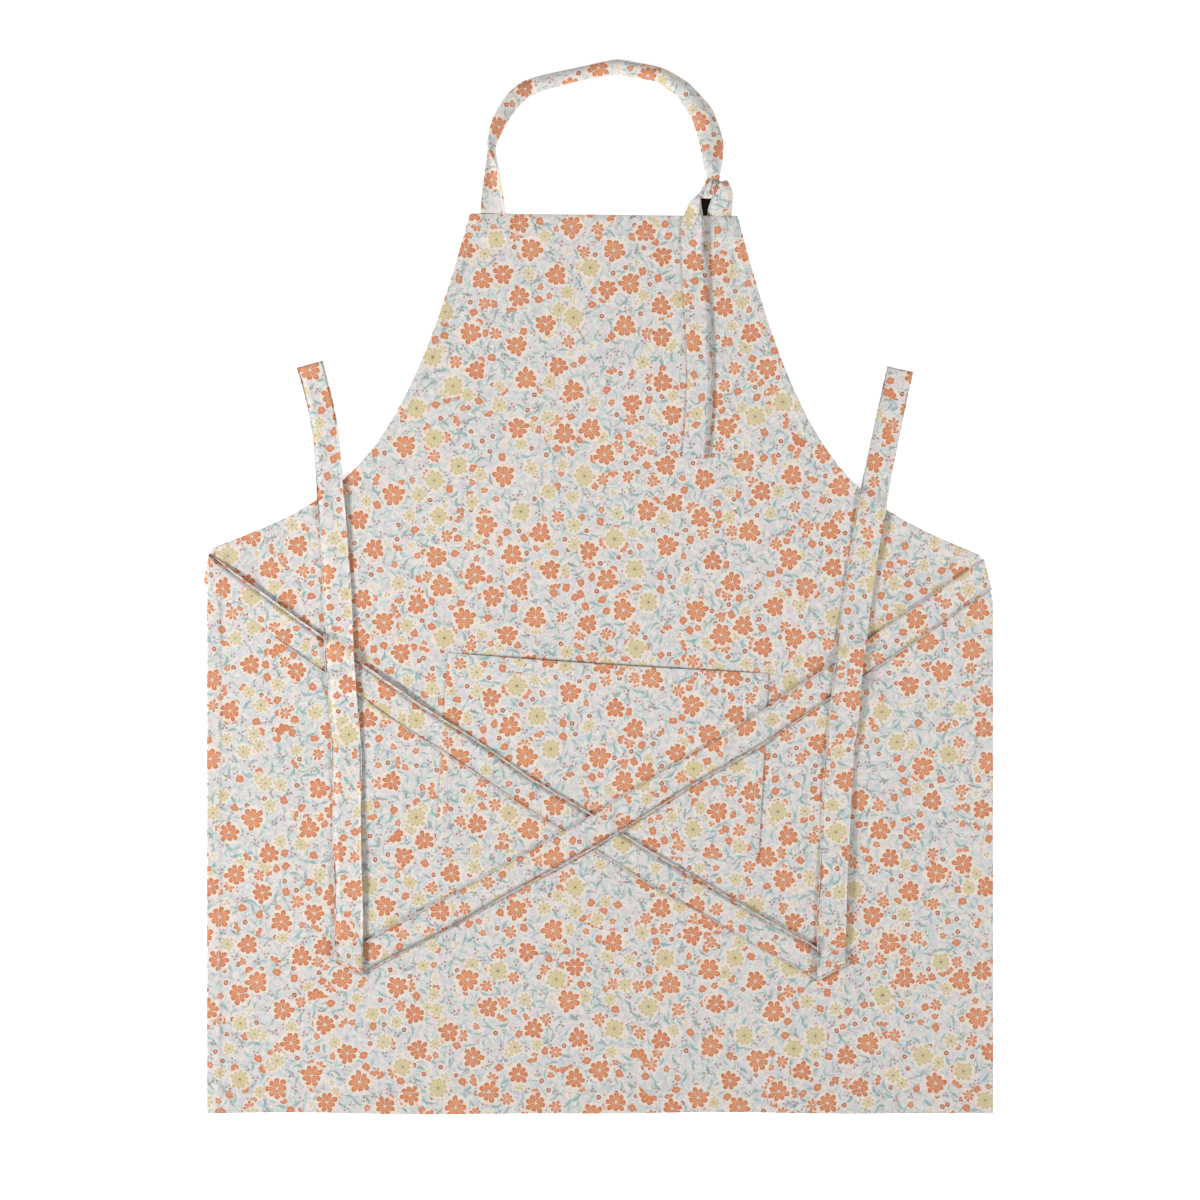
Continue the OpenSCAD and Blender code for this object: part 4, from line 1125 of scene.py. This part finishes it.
# Where the tail goes into the knot it lies between the knot's upper and lower turn
in_knot = ease((tail_flat[..., 0] + tail_flat[..., 1] - 0.4300) / 0.0080)
fold_rise = 0.0042 * ease((tail_flat[..., 1] - 0.327) / 0.022) - 0.0014 * in_knot
right_rise = 0.0020 * ease((tail_flat[..., 1] - 0.285) / 0.04) + 0.0011
right_rise = right_rise * (1 - tail_share) ** 2 * (1 - in_knot)
left_rise = 0.0007 * tail_share ** 3 * (0.6 + 0.4 * waves(tail_flat[..., 1], 0 * tail_flat[..., 0], 0.06, 71))
tail_rise = fold_rise + right_rise + left_rise
tail_middle = laid(tail_flat, tape_t, tail_rise)
above_bib = ease((tail_flat[..., 1] - bib_y + 0.004) / 0.008)
tail_middle[..., 2] = tail_middle[..., 2] * (1 - above_bib) + (0.0024 + tail_rise) * above_bib
bend_x, bend_z, lift_bend_l = 0.082, 0.0028, 0.016
# Piece, its rows, its node, the two bodies it joins, and where the bend between them starts and ends
tail_pieces = (
    ("neck_strap_tail_fold", tail_middle[:bend_row + 1], "neck_strap_tail_top", "neck_loop", "tail_top",
     follow_y + 0.001, follow_y - 0.015),
    ("neck_strap_free_tail", tail_middle[bend_row:], "neck_strap_tail", "tail_top", "tail",
     lift_y, lift_y - lift_bend_l))
tail_print = 0.113
for name, middle, node, first, second, begin, end in tail_pieces:
    piece_l = length_along(middle[:, middle.shape[1] // 2])[-1]
    piece = ribbon(name, middle, tape_t, (0.27, tail_print), printed_cotton)
    tail_print += piece_l
    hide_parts(node)
    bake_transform(piece)

# ---- Sewing thread ----
# Pale cotton thread. Every hem, the pocket and one edge of every strap carry a row of plain
# machine stitches, and a short bar of doubled stitches holds each strap's sewn end.
stitch_l, stitch_pitch = 0.0024, 0.0030
thread_r = 0.00022
thread = grained("pale_thread", 2600.0, 0.50, 0.66, 0.96, 0.90, 0.00008, 0.65)


def sewn_row(name, paths, ups, node):
    """Stitches along paths on the cloth's face: small rounded bars that dip in at both ends."""
    points, faces = [], []
    ring = np.linspace(0, 2 * math.pi, 7)[:-1]
    # Place along the stitch, thickness, and height over the cloth
    profile = np.array([(-0.5, 0.05, -0.0003), (-0.42, 0.8, -0.00005), (-0.2, 1.0, 0.00008),
                        (0.2, 1.0, 0.00008), (0.42, 0.8, -0.00005), (0.5, 0.05, -0.0003)])
    for path, up in zip(paths, ups):
        path, up = np.asarray(path), np.asarray(up)
        at = length_along(path)
        centres = np.arange(stitch_pitch / 2, at[-1] - stitch_l / 2, stitch_pitch)
        for centre in centres:
            spots = centre + profile[:, 0] * stitch_l
            place = np.stack([np.interp(spots, at, path[:, k]) for k in range(3)], axis=1)
            face = np.array([np.interp(centre, at, up[:, k]) for k in range(3)])
            face /= np.linalg.norm(face)
            ahead = place[-1] - place[0]
            ahead /= np.linalg.norm(ahead)
            side = np.cross(ahead, face)
            side /= np.linalg.norm(side)
            start = len(points)
            for spot, (_, size, rise) in zip(place, profile):
                for angle in ring:
                    points.append(spot + face * (rise + thread_r * size * math.sin(angle))
                                  + side * thread_r * 1.3 * size * math.cos(angle))
            for row in range(len(profile) - 1):
                for k in range(6):
                    a, b = start + row * 6 + k, start + row * 6 + (k + 1) % 6
                    faces.append((a, b, b + 6, a + 6))
            faces.append(tuple(start + k for k in range(5, -1, -1)))
            faces.append(tuple(start + (len(profile) - 1) * 6 + k for k in range(6)))
    piece = new_piece(name, np.array(points), faces, np.zeros((sum(len(f) for f in faces), 2)), thread)
    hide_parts(node)
    return piece


def on_panel(x, y):
    """Points on the panel's face, with its upward direction."""
    step = 0.0005
    z = panel_z(x, y)
    slope_x = (panel_z(x + step, y) - z) / step
    slope_y = (panel_z(x, y + step) - z) / step
    up = np.stack([-slope_x, -slope_y, np.ones_like(z)], axis=1)
    up /= np.linalg.norm(up, axis=1)[:, None]
    return np.stack([x, y, z], axis=1) + up * cloth_t / 2, up


def inset(line, distance, sign):
    """A line moved sideways by a distance."""
    direction = np.gradient(line, axis=0)
    direction /= np.linalg.norm(direction, axis=1)[:, None]
    return line + sign * distance * np.stack([-direction[:, 1], direction[:, 0]], axis=1)


stitch_in = 0.002
top_y, bottom_y = panel_high.y - wide_hem + stitch_in, panel_low.y + wide_hem - stitch_in
top_x = spaced(left_x(top_y) + 0.002, right_x(top_y) - 0.002, 0.002)
bottom_x = spaced(panel_low.x + 0.002, panel_high.x - 0.002, 0.002)
hem_lines = {
    "top_hem": (top_x, 0 * top_x + top_y - 0.0012 * (top_x - 0.0035) / 0.244 * 2 * ease(1 - 0.018 / 0.07)),
    "bottom_hem": (bottom_x, 0 * bottom_x + bottom_y),
}
panel_sides = (("left", left_side, left_corner, left_armhole, -1),
               ("right", right_side, right_corner, right_armhole, 1))
for side, line, corner, armhole, sign in panel_sides:
    heights = spaced(line[0, 1], line[-1, 1], 0.002)
    whole = np.stack([np.interp(heights, line[:, 1], line[:, 0]), heights], axis=1)
    below = whole[whole[:, 1] < corner[1] - 0.001]
    side_row = inset(below, side_hem - stitch_in, sign)
    hole_row = inset(armhole[::-1], armhole_hem - stitch_in, sign)[2:-1]
    hem_lines[side + "_side_hem"] = (side_row[:, 0], side_row[:, 1])
    hem_lines[side + "_armhole"] = (hole_row[:, 0], hole_row[:, 1])
for name, (x, y) in hem_lines.items():
    path, up = on_panel(x, y)
    row = sewn_row(name + "_stitches", [path], [up], name + "_stitching")
    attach(row, "apron")


def on_pocket_face(u, v):
    x, y = on_pocket(u, v)
    z = pocket_z(x, y) + cloth_t / 2
    return np.stack([x, y, z], axis=1), np.broadcast_to([0.0, 0.0, 1.0], (len(x), 3))


seam_u, seam_v = (pocket_turn - stitch_in) / pocket_w, (pocket_turn - stitch_in) / pocket_h
mouth_v = 1 - (pocket_hem - stitch_in) / pocket_h
down, over_u = spaced(0.99, seam_v, 0.012), spaced(seam_u, 1 - seam_u, 0.008)
seams = [on_pocket_face(0 * down + seam_u, down), on_pocket_face(over_u, 0 * over_u + seam_v),
         on_pocket_face(0 * down + 1 - seam_u, down)]
row = sewn_row("pocket_stitches", *zip(*seams), "pocket_stitching")
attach(row, "apron")
mouth = on_pocket_face(over_u, 0 * over_u + mouth_v)
row = sewn_row("pocket_mouth_stitches", [mouth[0]], [mouth[1]], "pocket_mouth_stitching")
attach(row, "apron")


def strap_edge_rows(middle, thick, column=2, both=False):
    """The stitch row of a strap: on its face, and on its back too where that shows."""
    along, across = np.gradient(middle, axis=0), np.gradient(middle, axis=1)
    up = np.cross(across, along)[:, column]
    up /= np.linalg.norm(up, axis=1)[:, None]
    path = middle[:, column]
    offset = thick / 2 * 0.8
    if both:
        return [path + up * offset, path - up * offset], [up, -up]
    return [path + up * offset], [up]


for side, sign, joint, body, print_start in ties:
    run, end = tie_grids[side][0], tie_ends[side]
    row = sewn_row(side + "_tie_stitches", *strap_edge_rows(run, tape_t), side + "_tie_stitching")
    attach(row, "apron")
    row = sewn_row(side + "_tie_end_stitches", *strap_edge_rows(end, tape_t), side + "_tie_end_stitching")
    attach(row, body)
row = sewn_row("neck_strap_stitches", *strap_edge_rows(neck_middle[14:-6], tape_t, both=True),
               "neck_strap_stitching")
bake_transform(row)
row = sewn_row("tail_stitches", *strap_edge_rows(tail_middle[bend_row + 1:], tape_t), "tail_stitching")
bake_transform(row)
for name in ("neck_strap", "neck_loop", "left_tie", "right_tie"):
    low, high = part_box(name + "_tack")
    lines = []
    for shift in (-0.0005, 0.0005):
        if high.x - low.x > high.y - low.y:
            x = spaced(low.x, high.x, 0.001)
            y = 0 * x + (low.y + high.y) / 2 + shift
        else:
            y = spaced(low.y, high.y, 0.001)
            x = 0 * y + (low.x + high.x) / 2 + shift
        lines.append(on_panel(x, y))
    row = sewn_row(name + "_tack_stitches", *zip(*lines), name + "_tack")
    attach(row, "apron")
